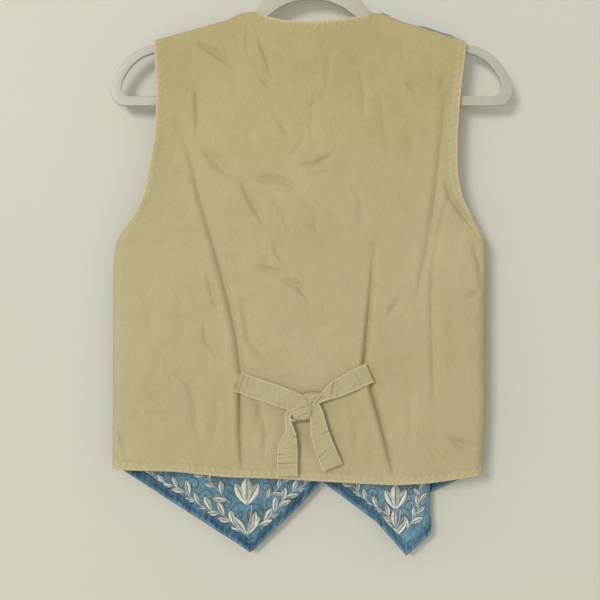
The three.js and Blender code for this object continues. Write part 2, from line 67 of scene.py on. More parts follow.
HEM_PUCKER = 7.6
NECK_PUCKER = 6.4
STITCH_PITCH = 3.1
STITCH_RADIUS = 0.26
CREASE_SHARPNESS = 3.0
CREASE_NARROWING = 0.72
CREASE_LEAN = 0.4
FOLD_OVERLAP = 0.35
FOLD_DEPTH = 1.25
SHOULDER_SHOW = 2.0
HEM_LEVEL = 515.0
BELOW_POINTS = 615.0
RELIEF_ROOM = 1.2
KNOT_MIDDLE = (-6.5, 438.0)
OUT_OF_BACK = np.array([0, -1.0, 0])

# --- outlines ---
BACK_EDGES = np.array([  # down, left, right, depth
    (0, -175, 173, 6.5), (35, -175, 172, 6.5), (95, -172, 165, 7.5), (138, -174, 161.5, 8.5),
    (180, -181, 161.5, 10), (206, -186.5, 166, 11), (223, -194.5, 174.5, 11.5),
    (239, -206, 184.5, 12), (254, -217.5, 194, 12.5), (280, -221, 194, 13.5),
    (366, -221.5, 193.5, 14), (439, -221.5, 194, 13), (515, -222, 191, 12.5),
])
BACK_TOP = np.array([  # x, down
    (-175, 31), (-146, 23), (-93, 8), (-77, 0), (-64, 0), (-50, 6), (-30, 10.5), (-10, 11.6),
    (11, 11.4), (34, 9), (56, 5.5), (69, 1.5), (79, 1), (99, 9.5), (119, 15.5), (173, 32),
])
BACK_HEM = np.array([  # x, down
    (-222, 508.5), (-150, 510.5), (-97, 516.5), (-37, 518.5), (31, 522.5), (90, 525.7),
    (132, 523.5), (164, 518.6), (191, 514),
])
FRONT_DEPTHS = np.array([  # down, depth
    (0, 6.5), (60, 6.8), (180, 9.5), (254, 11.2), (620, 11.2),
])
LEFT_EDGES = np.array([  # down, side, inner
    (0, -175, -67), (35, -175, -55), (95, -163, -33), (138, -161, -17), (180, -166, -2),
    (206, -175, 8), (223, -187, 14), (239, -202, 20), (254, -217.5, 22), (280, -221, 22),
    (439, -221.5, 22), (515, -222, 22), (607, -222, 22),
])
LEFT_HEM = np.array([  # x, down
    (-222, 508.5), (-213, 513.7), (-77.5, 600.9), (-70, 606.6), (-66.5, 605), (-13, 553.4),
    (22, 515.7),
])
RIGHT_EDGES = np.array([  # down, side, inner
    (0, 173, 74), (35, 172, 63), (95, 157, 44), (138, 151, 30), (180, 150, 17), (206, 156, 9),
    (223, 166, 4), (239, 179, 0), (254, 194, -2), (439, 194, -2), (515, 191, -2),
    (611, 191, -2),
])
RIGHT_HEM = np.array([  # along the cloth, down
    (0, 513.5), (0.23, 525), (0.59, 540), (1, 556), (2, 588), (2.18, 609.5), (2.43, 571.6),
    (2.9, 527), (3, 516),
])
# Long folds of the back: x, down, deep. width and lean follow; with lean 1 the cloth on
# the left stands over the trough, with -1 the cloth on the right does.
FOLDS = [
    ([(-150, 122, 0.6), (-137, 155, 1.6), (-124, 210, 3), (-109, 260, 3.6), (-101, 290, 4),
      (-93, 321, 4.4), (-84, 362, 4.8), (-79, 400, 4.6)], 4.6, 1),
    ([(-80, 416, 5.4), (-80.5, 440, 5.6), (-80, 470, 5), (-76, 509, 2.8)], 3, 0.6),
    ([(70, 258, 1), (66, 306, 3.8), (60, 362, 6), (57, 394, 6.4)], 3, 0.4),
    ([(62, 408, 6), (67, 428, 6.6), (75, 456, 6.6), (83, 486, 6), (91, 514, 3)], 3.6, 0.7),
    ([(149, 94, 0.8), (143, 155, 2), (136, 210, 2.6), (128, 266, 2.4), (120, 301, 1.6),
      (115, 329, 0.5)], 4.4, 0.8),
    ([(153, 202, 0.6), (142, 238, 1.8), (133.6, 282, 2), (132, 321, 1.8), (134, 390, 2),
      (135, 456, 0.6)], 3.4, 0.6),
]
# Small creases of the back: x, down of each point, then deep, width and lean. Where the
# lean is 0, the creases lean by CREASE_LEAN to one side and the other in turn.
CREASES = [
    ([(-130, 34), (-106, 47), (-82, 66)], 2, 5, 0.4),
    ([(-71, 8), (-72, 56)], 0.5, 3, 0.5),
    ([(-62, 22), (-52, 48), (-44, 74)], 1.1, 3.6, 0.4),
    ([(-45, 112), (-34, 126), (-22, 146)], 1.0, 3.6, 0),
    ([(5, 84), (1, 110), (-1, 140)], 0.45, 4, 0.4),
    ([(25, 31), (19, 60), (15, 94)], 0.45, 4, 0),
    ([(-16, 172), (4, 171), (27, 157)], 1.6, 4, 0),
    ([(-13, 179), (12, 180), (33, 177)], 0.8, 3, 0),
    ([(-74, 176), (-58, 186), (-38, 187), (-24, 192), (-8, 207)], 1.5, 4.4, 0),
    ([(-123, 150), (-103, 170), (-83, 188)], 2.1, 8, 0.4),
    ([(-78, 192), (-64, 216), (-50, 242)], 1.9, 5.5, -0.4),
    ([(-44, 258), (-36, 272), (-28, 286)], 1.2, 4, 0),
    ([(-64, 283), (-46, 288), (-28, 294)], 1.9, 4.6, 0),
    ([(-37, 296), (-16, 305), (0, 324)], 2, 5, 0),
    ([(-117, 286), (-110, 313), (-101, 341)], 1, 3.6, 0.3),
    ([(-5, 237), (9, 244)], 1, 4, 0),
    ([(22, 238), (44, 251)], 1, 4, 0),
    ([(-150, 74), (-143, 82), (-128, 89), (-127, 118), (-127, 144)], 1.1, 4, 0.4),
    ([(78, 83), (81, 127), (88, 183)], 0.5, 5, 0),
    ([(104, 78), (119, 89)], 1.2, 4, 0),
    ([(149, 69), (142, 91)], 0.7, 4.5, 0.4),
    ([(-59, 72), (-44, 87)], 0.9, 3.6, 0),
    ([(-119, 343), (-116, 368), (-96, 392)], 1.2, 4, 0),
    ([(-165, 387), (-135, 415), (-130, 432), (-122, 492)], 1, 6, 0.3),
    ([(82, 343), (92, 328), (100, 315)], 1, 5, 0),
    ([(150, 472), (165, 481), (181, 486)], 1.9, 5.5, 0),
    ([(146, 184), (154, 207), (173, 233), (187, 251)], 1.7, 4.2, 0),
    ([(-216, 465), (-204, 489)], 1.4, 5, 0),
    ([(-182, 443), (-168, 452)], 1, 4, 0),
    ([(-77, 312), (-68, 365), (-46, 390), (-29, 404)], 1.6, 8, 0.3),
    ([(177, 255), (186, 280), (188, 312)], 1.6, 6, 0.4),
    ([(170, 318), (188, 314)], 1.2, 4, 0),
    ([(52, 60), (60, 92), (56, 120)], 0.7, 5, 0),
    ([(-20, 340), (4, 352), (28, 350)], 0.8, 7, 0),
    ([(-58, 432), (-50, 470), (-54, 498)], 0.9, 5, 0.3),
    ([(42, 432), (50, 462), (48, 496)], 0.8, 6, 0),
    ([(104, 396), (112, 440), (108, 486)], 0.7, 6, 0),
    ([(-100, 158), (-84, 178), (-66, 196), (-46, 236), (-40, 254)], 0.8, 9, 0.5),
    ([(-64, 198), (-44, 206), (-30, 228), (-22, 252)], 0.8, 6, 0.3),
    ([(-62, 262), (-48, 276), (-30, 296)], 0.9, 5, 0.4),
    ([(-48, 216), (-36, 240), (-30, 262)], 0.7, 4, 0.3),
    ([(-12, 206), (4, 226), (6, 250)], 0.6, 4.5, 0),
    ([(-28, 164), (-12, 150), (-6, 132)], 0.6, 4, 0),
    ([(-14, 112), (4, 104), (22, 88)], 0.7, 4, 0),
    ([(-90, 116), (-70, 136), (-64, 160)], 0.6, 6, 0),
    ([(44, 190), (56, 214), (52, 246)], 0.6, 6, 0),
    ([(104, 120), (112, 146), (106, 176)], 0.6, 7, 0.3),
    ([(-190, 300), (-176, 330), (-178, 366)], 0.6, 8, 0),
    ([(-146, 300), (-140, 344), (-150, 380)], 0.6, 8, 0),
    ([(-196, 410), (-176, 424), (-160, 446)], 0.7, 5, 0),
    ([(-106, 420), (-104, 452), (-112, 490)], 0.7, 6, 0),
    ([(150, 330), (160, 372), (156, 412)], 0.6, 8, 0),
    ([(120, 470), (140, 496), (164, 502)], 0.8, 5, 0),
    ([(-24, 462), (-4, 470), (2, 492)], 0.7, 6, 0),
    ([(-66, 412), (-58, 440), (-62, 470)], 0.8, 6, 0.3),
]
BELT = {  # x, down, width, lift
    "tie_left_strap": [(-82.5, 411, 22, 0.7), (-62, 418, 22.5, 1.8), (-41, 425, 22.5, 2.6),
                       (-17, 433.5, 21, 3.6), (-10, 436, 18, 4)],
    "tie_right_strap": [(65.5, 400.5, 22, 0.4), (48, 408.5, 22, 1.6), (33.5, 415.5, 20.5, 2.4),
                        (22, 421.5, 17, 3), (13.5, 427, 9.5, 3.6), (6.5, 431.5, 6, 4.4),
                        (1, 435, 6, 4.6)],
    "tie_left_tail": [(-24, 442, 6, 5.4), (-27, 447, 5.5, 5.4), (-25.5, 457, 7, 5.4),
                      (-22.8, 465.5, 10, 5.6), (-24.4, 472.5, 16.5, 5.4), (-26, 481, 21.5, 5),
                      (-26.7, 491, 22.5, 4.4), (-26.7, 516.5, 22.5, 3.2)],
    "tie_right_tail": [(1, 434, 10, 5.6), (5.2, 442.5, 14, 5.6), (6.8, 456, 17.5, 5.2),
                       (9.6, 470, 20.5, 5.4), (15, 485.5, 22.2, 5), (23.8, 506.5, 22.5, 3.8)],
}
# The knot's two showing layers, each a stuffed outline of x, down: the turn that comes
# over from the right strap, and the wrap that lies across it.
KNOT_TURN = [(-6, 422.5), (10, 422.5), (13, 425), (6.5, 432), (2.6, 439.5), (1, 445.5),
             (-7, 441), (-11, 428)]
KNOT_WRAP = [(-10.5, 425), (-4.5, 427), (-1, 434.5), (2, 442), (-0.5, 451), (-9, 454),
             (-18, 453), (-24, 446.5), (-25.5, 441.5), (-17.5, 433.5)]
HANGER_RING = np.array([  # outer x, outer down, inner x, inner down, of the right half
    (0, -32, 0, -15), (20, -31, 18, -13), (40, -25.5, 35, -6), (54, -16, 50, 5),
    (67, 2.4, 62, 13), (93, 11.4, 93, 21.8), (146, 26.6, 146, 36.8), (176, 35.6, 174, 44.6),
    (189, 39.2, 186, 48.6), (202, 47, 196, 55), (212, 57, 204.5, 64.5), (220, 70, 210.5, 75),
    (225, 84, 212, 84), (224, 93, 209, 90), (219, 100.5, 205, 92.6), (208, 104, 198, 93),
    (150, 104, 150, 93), (60, 104, 60, 93), (0, 104, 0, 93),
])


# --- small helpers ---
def clamp01(t):
    return np.clip(t, 0, 1)


def smooth(start, end, value):
    t = clamp01((value - start) / (end - start))
    return t * t * (3 - 2 * t)


def quarter_round(t):
    return np.sqrt(1 - (1 - clamp01(t)) ** 2)


def read(rows, at, column=1, blur=0):
    """Linear reading of a table by its first column, rounded off over blur millimetres."""
    if not blur:
        return np.interp(at, rows[:, 0], rows[:, column])
    steps = (-1, -0.6, -0.2, 0.2, 0.6, 1)
    return sum(np.interp(at + k * blur, rows[:, 0], rows[:, column]) for k in steps) / 6


def lerp(a, b, t):
    return a + (b - a) * t


def bell(offset, width):
    return np.exp(-(offset / width) ** 2)


def ripple(turns, shift=0):
    return np.sin(2 * math.pi * turns + shift)


def waves(x, down, count, lengths, height, seed):
    """Cloth unevenness: a sum of sine waves in all directions, the same on each run."""
    rng = np.random.default_rng(seed)
    total = np.zeros(np.broadcast(x, down).shape)
    for _ in range(count):
        angle = rng.uniform(0, math.pi)
        number = 2 * math.pi / rng.uniform(*lengths)
        phase = rng.uniform(0, 2 * math.pi)
        total += np.sin(number * (x * math.cos(angle) + down * math.sin(angle)) + phase)
    return total * height / math.sqrt(count)


def measured(points):
    """How far along a line of points each of them lies."""
    steps = np.linalg.norm(np.diff(points, axis=0), axis=1)
    return np.concatenate([[0], np.cumsum(steps)])


def along_path(path, x, down):
    """For each point: signed distance to a path (right is +) and the share along it."""
    points = np.array([p[:2] for p in path], float)
    starts = measured(points)
    best = np.full(x.shape, 1e9)
    side = np.ones(x.shape)
    share = np.zeros(x.shape)
    for i, length in enumerate(np.diff(starts)):
        a = points[i]
        run = (points[i + 1] - a) / length
        t = np.clip((x - a[0]) * run[0] + (down - a[1]) * run[1], 0, length)
        dx = x - a[0] - t * run[0]
        dd = down - a[1] - t * run[1]
        distance = np.hypot(dx, dd)
        near = distance < best
        best = np.where(near, distance, best)
        across = dx * run[1] - dd * run[0]
        side = np.where(near, np.where(across >= 0, 1.0, -1.0), side)
        share = np.where(near, (starts[i] + t) / starts[-1], share)
    return best * side, share


def depth_along(path, share):
    """Reads the depths that a fold's path states, at these shares of its length."""
    points = np.array(path, float)
    at = measured(points[:, :2])
    return np.interp(share, at / at[-1], points[:, 2])


def crease(x, down, path, width, lean, deep=None):
    """Depth of one crease. With a lean, one side stands up and drops sharply into it."""
    s, share = along_path(path, x, down)
    if deep is None:
        amount = depth_along(path, share)
    else:
        taper = clamp01(4 * share * (1 - share))
        amount = deep * taper
        width = width * (0.45 + 0.75 * taper)
    trough = bell(s, width)
    shoulder = bell(s + np.sign(lean) * width * 1.35, width * 1.3)
    return amount * (trough - 0.55 * abs(lean) * shoulder)


def overlap(x, down, path, width, lean):
    """How far the standing side of a long fold is pushed over its trough."""
    s, share = along_path(path, x, down)
    near = bell(s + np.sign(lean) * width * 0.8, width * 0.95)
    return lean * depth_along(path, share) * FOLD_OVERLAP * near


# --- meshes ---
def attach(made, slot, *nodes):
    """Says which body a piece moves with and hides the CAD nodes it replaces; slot is not used."""
    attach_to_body(made, "root")
    if nodes:
        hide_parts(*nodes)


def mesh_object(name, points, faces, materials, indices=None, smooth_shade=True):
    mesh = bpy.data.meshes.new(name)
    mesh.from_pydata((np.asarray(points) * MM).tolist(), [], faces)
    for material in materials:
        mesh.materials.append(material)
    if indices is not None:
        mesh.polygons.foreach_set("material_index", indices)
    if smooth_shade:
        mesh.polygons.foreach_set("use_smooth", [True] * len(mesh.polygons))
    mesh.update()
    made = bpy.data.objects.new(name, mesh)
    bpy.context.scene.collection.objects.link(made)
    return made


def set_wear(made, layer):
    """Stores how rubbed each corner is, the same on both layers of a shell."""
    values = np.concatenate([layer.ravel(), layer.ravel()]).astype(np.float32)
    made.data.attributes.new("wear", "FLOAT", "POINT").data.foreach_set("value", values)


def place(x, y, down):
    return np.stack([x, y, NECK_POINT_Z - down], axis=-1)


def grid_normals(points):
    across = np.gradient(points, axis=1)
    along = np.gradient(points, axis=0)
    normal = np.cross(across, along)
    return normal / np.maximum(np.linalg.norm(normal, axis=-1, keepdims=True), 1e-9)


def shell_faces(rows, columns):
    """Faces of a closed wall between two layers of a grid, and which layer each is on."""
    layer = rows * columns
    index = np.arange(layer).reshape(rows, columns)
    a, b = index[:-1, :-1].ravel(), index[:-1, 1:].ravel()
    c, d = index[1:, 1:].ravel(), index[1:, :-1].ravel()
    far = np.stack([a, b, c, d], 1) + layer
    near = np.stack([a, d, c, b], 1)
    loop = np.concatenate([index[0, :], index[1:, -1], index[-1, -2::-1], index[-2:0:-1, 0]])
    after = np.roll(loop, -1)
    rim = np.stack([loop, after, after + layer, loop + layer], 1)
    faces = np.concatenate([far, near, rim]).tolist()
    sides = [0] * len(far) + [1] * len(near) + [0] * len(rim)
    return faces, sides


def shell(name, points, normals, near, far, materials):
    """materials are those of the far side and of the near side."""
    rows, columns = points.shape[:2]
    faces, sides = shell_faces(rows, columns)
    layers = [points + normals * distance for distance in (near, far)]
    corners = np.concatenate([layer.reshape(-1, 3) for layer in layers])
    if len(materials) == 1:
        sides = [0] * len(sides)
    return mesh_object(name, corners, faces, materials, sides)


def ring_faces(rings, sides, closed=False):
    """Faces between neighbouring rings of corners; closed joins the last to the first."""
    faces = []
    for ring in range(rings if closed else rings - 1):
        here, there = ring * sides, (ring + 1) % rings * sides
        for k in range(sides):
            n = (k + 1) % sides
            faces.append([here + k, there + k, there + n, here + n])
    return faces


def tube_faces(rings, sides):
    """Faces of a row of rings, with an end over the first ring and over the last."""
    last = (rings - 1) * sides
    return ring_faces(rings, sides) + [list(range(sides)),
                                       [last + k for k in reversed(range(sides))]]


def turned(faces):
    """The same faces, looking the other way."""
    return [face[:1] + face[:0:-1] for face in faces]


def tube(path, radius, sides):
    """Corners and faces of a round tube along points, its ends closed."""
    path = np.asarray(path, float)
    run = np.gradient(path, axis=0)
    run /= np.linalg.norm(run, axis=1, keepdims=True)
    helper = np.tile([0.0, 1.0, 0.0], (len(path), 1))
    helper[np.abs(run[:, 1]) > 0.9] = [1, 0, 0]
    u = np.cross(run, helper)
    u /= np.linalg.norm(u, axis=1, keepdims=True)
    v = np.cross(run, u)
    angle = np.arange(sides) * 2 * math.pi / sides
    radii = np.broadcast_to(np.asarray(radius, float), len(path))
    rings = path[:, None] + radii[:, None, None] * (
        u[:, None] * np.cos(angle)[None, :, None] + v[:, None] * np.sin(angle)[None, :, None])
    return rings.reshape(-1, 3), tube_faces(len(path), sides)


class Joined:
    """Many small shapes gathered into one mesh, each with a material index."""

    def __init__(self):
        self.points = []
        self.faces = []
        self.indices = []
        self.count = 0

    def add(self, points, faces, index=0):
        self.points.append(np.asarray(points, float))
        self.faces += [[i + self.count for i in face] for face in faces]
        self.indices += [index] * len(faces)
        self.count += len(points)

    def tube(self, path, radius, sides=5, index=0):
        self.add(*tube(path, radius, sides), index)

    def make(self, name, materials):
        return mesh_object(name, np.concatenate(self.points), self.faces, materials, self.indices)


# --- materials ---
class Nodes:
    """A material's node tree, built by short calls."""

    def __init__(self, name, roughness, sheen=0.0, specular=0.4):
        self.material = bpy.data.materials.new(name)
        self.material.use_nodes = True
        self.tree = self.material.node_tree
        self.shader = self.tree.nodes["Principled BSDF"]
        self.fill(self.shader, {"Roughness": roughness, "Specular IOR Level": specular,
                                "Sheen Weight": sheen})
        self.where = self.tree.nodes.new("ShaderNodeTexCoord").outputs["Object"]

    def fill(self, node, inputs):
        """Sets a node's inputs to values, or links them to other nodes' outputs."""
        for name, value in inputs.items():
            if isinstance(value, bpy.types.NodeSocket):
                self.tree.links.new(value, node.inputs[name])
            else:
                node.inputs[name].default_value = value
        return node

    def node(self, kind, **inputs):
        return self.fill(self.tree.nodes.new(kind), inputs)

    def places(self, turn, stretch=(1, 1, 1)):
        """Places on the cloth, turned in its plane and stretched."""
        return self.node("ShaderNodeMapping", Scale=stretch, Rotation=(0, turn, 0),
                         Vector=self.where).outputs["Vector"]

    def noise(self, scale, detail=2.0, stretch=(1, 1, 1)):
        return self.node("ShaderNodeTexNoise", Scale=scale, Detail=detail,
                         Vector=self.places(0, stretch)).outputs["Fac"]

    def ribs(self, pitch, turn):
        """Parallel ribs in the plane of the cloth, pitch in metres."""
        node = self.node("ShaderNodeTexWave", Scale=0.3142 / pitch, Distortion=0.4, Detail=1.5,
                         Vector=self.places(turn))
        node.bands_direction = "X"
        return node.outputs["Fac"]

    def ramp(self, value, stops):
        node = self.node("ShaderNodeValToRGB", Fac=value)
        ramp = node.color_ramp
        while len(ramp.elements) < len(stops):
            ramp.elements.new(0.5)
        for element, (at, colour) in zip(ramp.elements, stops):
            element.position = at
            element.color = (*colour, 1)
        return node.outputs["Color"]

    def mix(self, kind, factor, a, b):
        node = self.tree.nodes.new("ShaderNodeMix")
        node.data_type = "RGBA"
        node.blend_type = kind
        return self.fill(node, {"Factor": factor, "A": a, "B": b}).outputs["Result"]

    def bump(self, heights, strength, distance=0.0004):
        below = {}
        for height in heights:
            node = self.node("ShaderNodeBump", Strength=strength, Distance=distance,
                             Height=height, **below)
            below = {"Normal": node.outputs["Normal"]}
        self.fill(self.shader, below)

    def colour(self, output):
        self.fill(self.shader, {"Base Color": output})
        return self.material


def grey(value):
    return (value, value, value)


def fade_upwards(nodes, tint):
    """A tint that comes in with height, from under the shoulder blades up to the neck."""
    parts = nodes.node("ShaderNodeSeparateXYZ", Vector=nodes.where)
    rise = nodes.tree.nodes.new("ShaderNodeMapRange")
    nodes.fill(rise, {"From Min": -0.32, "From Max": -0.13, "Value": parts.outputs["Z"]})
    return nodes.ramp(rise.outputs["Result"], [(0, grey(1)), (1, tint)])


def cloth_material(name, low, high, worn, weave_pitch, weave_turn, blotch, thread, neck=None):
    """Woven cloth: mottled, with diagonal ribs and slubs, and paler where it is worn."""
    nodes = Nodes(name, roughness=0.9, sheen=0.08, specular=0.15)
    base = nodes.ramp(nodes.noise(7, 4), [(0.3, low), (0.7, high)])
    if neck:
        base = nodes.mix("MULTIPLY", 1, base, fade_upwards(nodes, neck))
    wear = nodes.tree.nodes.new("ShaderNodeAttribute")
    wear.attribute_name = "wear"
    paler = nodes.ramp(wear.outputs["Fac"], [(0, grey(0)), (1, grey(1))])
    colour = nodes.mix("MIX", paler, base, (*worn, 1))
    twill = nodes.ribs(weave_pitch, weave_turn)
    slub = nodes.noise(500, 2, (1, 1, 0.4))
    for pattern, dark, start in ((nodes.noise(60, 3), blotch, 0.35), (twill, thread, 0.2),
                                 (slub, thread, 0.35)):
        shade = nodes.ramp(pattern, [(start, grey(1 - dark)), (1 - start, grey(1))])
        colour = nodes.mix("MULTIPLY", 1, colour, shade)
    nodes.bump([twill, slub], 0.22)
    return nodes.colour(colour)


def plain_material(name, low, high, roughness, specular=0.5, scale=30):
    nodes = Nodes(name, roughness, specular=specular)
    grain = nodes.noise(scale, 4)
    colour = nodes.ramp(grain, [(0.3, low), (0.7, high)])
    nodes.bump([nodes.noise(900, 2)], 0.06, 0.0002)
    return nodes.colour(colour)


TWILL_CLOTH = cloth_material("khaki_twill", (0.47, 0.41, 0.216), (0.515, 0.452, 0.25),
                             (0.64, 0.56, 0.33), 0.0011, 0.9, 0.035, 0.06, (0.96, 0.9, 0.79))
TAPE_CLOTH = cloth_material("belt_twill", (0.465, 0.41, 0.228), (0.51, 0.455, 0.258),
                            (0.7, 0.64, 0.4), 0.0011, 0.4, 0.04, 0.06)
DENIM_INSIDE = cloth_material("denim_wrong_side", (0.165, 0.37, 0.5), (0.26, 0.495, 0.64),
                              (0.3, 0.42, 0.5), 0.0013, 0.9, 0.3, 0.34)
DENIM_OUTSIDE = cloth_material("denim_right_side", (0.05, 0.125, 0.215), (0.09, 0.19, 0.3),
                               (0.2, 0.3, 0.4), 0.0013, -0.9, 0.22, 0.25)
DENIM_BORDER = cloth_material("denim_border", (0.045, 0.15, 0.27), (0.085, 0.225, 0.365),
                              (0.36, 0.6, 0.74), 0.0013, -0.9, 0.34, 0.4)
STITCH = plain_material("twill_thread", (0.5, 0.43, 0.25), (0.62, 0.54, 0.34), 0.6, 0.3)
DENIM_STITCH = plain_material("denim_thread", (0.09, 0.14, 0.18), (0.2, 0.27, 0.31), 0.6, 0.3)
CREAM = plain_material("cream_thread", (0.6, 0.61, 0.53), (0.82, 0.83, 0.74), 0.45, 0.5, 260)
# Ecru is the stems' thread, and on one half of each satin leaf it is also painted shade.
ECRU = plain_material("ecru_thread", (0.38, 0.385, 0.325), (0.56, 0.56, 0.48), 0.45, 0.5, 260)
# Taupe is the thread of tendrils, veins and rims, and on the rims it is also painted shade at the
# leaves' edges.
TAUPE = plain_material("taupe_thread", (0.12, 0.095, 0.075), (0.2, 0.165, 0.13), 0.5, 0.4, 260)
SLATE = plain_material("slate_thread", (0.045, 0.06, 0.085), (0.1, 0.12, 0.15), 0.5, 0.4, 260)
THREADS = [CREAM, ECRU, TAUPE]
HANGER_PLASTIC = plain_material("hanger_plastic", (0.43, 0.42, 0.345), (0.47, 0.46, 0.38), 0.42)
BUTTON_HORN = plain_material("button_horn", (0.08, 0.045, 0.025), (0.2, 0.13, 0.075), 0.3, 0.5, 140)


# --- shape of the back ---
def shoulder_hold(x):
    return np.where(x < 0, smooth(-58, -72, x), smooth(62, 76, x))


def side_hold(down):
    return smooth(UNDERARM - 42, UNDERARM, down)


def over_arm(x, below):
    return 1 - shoulder_hold(x) * (1 - quarter_round(below / SHOULDER_ROUND))


def round_side(inward, down):
    return 1 - side_hold(down) * (1 - quarter_round(inward / SIDE_ROUND))


def back_top(x):
    return np.maximum(0, read(BACK_TOP, x, 1, 3))


def back_hem(x):
    return read(BACK_HEM, x, 1, 12)


def back_edge(column, down):
    return read(BACK_EDGES, down, column, 5)


def back_inward(x, down):
    return np.minimum(x - back_edge(1, down), back_edge(2, down) - x)


def band(distance, width, phase, length):
    """A turned and stitched edge: a raised fold, a sunk seam and puckers leaning along it."""
    on = smooth(width + 0.5, width - 0.5, distance)
    seam = bell(distance - width + SEAM_INSET, 0.8)
    rope = ripple((phase + 0.35 * distance) / length)
    rope += 0.5 * ripple((phase * 1.37 + 0.5 * distance) / length, 1)
    return on * (1.2 - 1.1 * seam + 0.6 * rope * clamp01(distance / 2))


def back_relief(x, down):
    """Outward relief of the back: folds, creases, unevenness and the edges' bands."""
    inward = back_inward(x, down)
    relief = np.zeros(x.shape)
    for path, width, lean in FOLDS:
        relief -= FOLD_DEPTH * crease(x, down, path, width, lean)
    for number, (path, deep, width, lean) in enumerate(CREASES):
        lean = lean or (CREASE_LEAN if number % 2 else -CREASE_LEAN)
        relief -= crease(x, down, path, width * CREASE_NARROWING, lean, deep * CREASE_SHARPNESS)
    relief += waves(x, down, 10, (70, 190), 1.1, 3) + waves(x, down, 26, (14, 46), 0.26, 4)
    relief *= smooth(0, 22, down - back_top(x)) * 0.85 + 0.15
    above = back_hem(x) - down
    relief *= smooth(1, 26, above) * 0.75 + 0.25
    relief *= smooth(0, 10, inward) * 0.7 + 0.3
    armhole = np.where(down < UNDERARM + 2, 1.0, 0.0) * smooth(3, 10, down - back_top(x))
    relief += band(inward, ARMHOLE_BAND, down, ARMHOLE_PUCKER) * armhole
    relief += band(above, HEM_BAND, x, HEM_PUCKER)
    relief += band(down - back_top(x), NECK_BAND, x, NECK_PUCKER) * (1 - shoulder_hold(x))
    return relief


def back_y(x, down, relief=True):
    depth = read(BACK_EDGES, down, 3, 12)
    if relief:
        depth = depth + back_relief(x, down)
    shaped = depth * round_side(back_inward(x, down), down) * over_arm(x, down - back_top(x))
    return -(SEAM_GAP / 2 + np.maximum(shaped, 0))


EDGE_STEPS = np.array([0, 0.35, 1, 2, 3.4, 5.2, 7, 8.6, 10.2, 12])
TOP_STEPS = np.array([0, 0.3, 0.9, 1.9, 3.2, 4.8, 6.5])


def spread(start, end, count):
    """count - 1 places between start and end, along a new last axis."""
    t = np.arange(1, count) / count
    return start[..., None] + (end - start)[..., None] * t


def downs_of(top, hem, count, last=14, fine=11):
    """Rows of every column: close together at the top edge and the hem."""
    head = top[:, None] + TOP_STEPS
    tail = hem[:, None] - np.linspace(last, 0, fine)
    middle = spread(head[:, -1], tail[:, 0], count)
    return np.concatenate([head, middle, tail], axis=1).T


def back_x(u, down, count):
    """x of column u: steps in from each edge, and evenly spaced between."""
    left, right = back_edge(1, down), back_edge(2, down)
    steps = len(EDGE_STEPS)
    if u < steps:
        return left + EDGE_STEPS[u]
    if u >= steps + count - 1:
        return right - EDGE_STEPS[2 * steps + count - 2 - u]
    share = (u - steps + 1) / count
    return lerp(left + EDGE_STEPS[-1], right - EDGE_STEPS[-1], share)


def back_panel():
    count = 184
    columns = range(2 * len(EDGE_STEPS) + count - 1)
    x_top = np.array([back_x(u, 0.0, count) for u in columns])
    x_hem = np.array([back_x(u, HEM_LEVEL, count) for u in columns])
    down = downs_of(back_top(x_top), back_hem(x_hem), 190)
    x = np.stack([back_x(u, down[:, u], count) for u in columns], axis=1)
    shift = sum(overlap(x, down, *fold) for fold in FOLDS)
    points = place(x + shift, back_y(x, down), down)
    normals = grid_normals(points)
    hold_seams(points, normals, -1, [0, -1])
    made = shell("twill_back", points, normals, -TWILL / 2, TWILL / 2, [TWILL_CLOTH])
    set_wear(made, back_wear(x, down))
    finish_cloth(made, "back_panel", "twill")


def back_wear(x, down):
    """Where the back is rubbed pale: along its edges and on the crests of their puckers."""
    inward = back_inward(x, down) + np.where(down < UNDERARM, 0, 40)
    edge = np.minimum(inward, back_hem(x) - down)
    edge = np.minimum(edge, down - back_top(x) + 60 * shoulder_hold(x))
    puckers = 0.5 + 0.5 * ripple((x + down) / 7.4, 0.4 * edge)
    return bell(edge, 1.6) * 0.8 + smooth(10, 8, edge) * puckers * 0.35


def hold_seams(points, normals, facing, sides):
    """Turns the normals along the seams straight out, so that the panels stay apart."""
    weight = shoulder_hold(points[0, :, 0])[:, None]
    normals[0] = lerp(normals[0], np.array([0, 0, facing]), weight)
    for column in sides:
        weight = side_hold(NECK_POINT_Z - points[:, column, 2])[:, None]
        outward = np.zeros((len(points), 3))
        outward[:, 0] = np.sign(points[:, column, 0]) * facing
        normals[:, column] = lerp(normals[:, column], outward, weight)
    normals /= np.linalg.norm(normals, axis=-1, keepdims=True)


def finish_cloth(made, node, slot):
    attach(made, slot, node)


# --- shape of the fronts ---
def front_depth(down):
    return read(FRONT_DEPTHS, down, 1, 8)


def front_relief(x, down, seed):
    relief = waves(x, down, 10, (80, 200), 0.7, seed) + waves(x, down, 26, (16, 44), 0.12, seed + 1)
    return relief * smooth(0, 26, down - back_top(x)) * smooth(0, 60, down)


def left_x(share, down):
    return lerp(read(LEFT_EDGES, down, 1, 3), read(LEFT_EDGES, down, 2, 3), share)


def left_y(x, down, top):
    inward = x - read(LEFT_EDGES, down, 1, 3)
    depth = front_depth(down) + front_relief(x, down, 20) * smooth(2, 30, inward)
    return SEAM_GAP / 2 + depth * round_side(inward, down) * over_arm(x, down - top)


def left_front():
    count = 92
    start = EDGE_STEPS / 240
    share = np.concatenate([start, np.linspace(start[-1], 1, count)[1:]])
    hem = np.full(len(share), UNDERARM * 2.0)
    for _ in range(6):
        hem = read(LEFT_HEM, left_x(share, hem))
    top = back_top(left_x(share, 0.0))
    down = downs_of(top, hem, 190, last=15, fine=10)
    x = left_x(share[None, :], down)
    points = place(x, left_y(x, down, top[None, :]), down)
    normals = grid_normals(points)
    hold_seams(points, normals, 1, [0])
    return points, normals


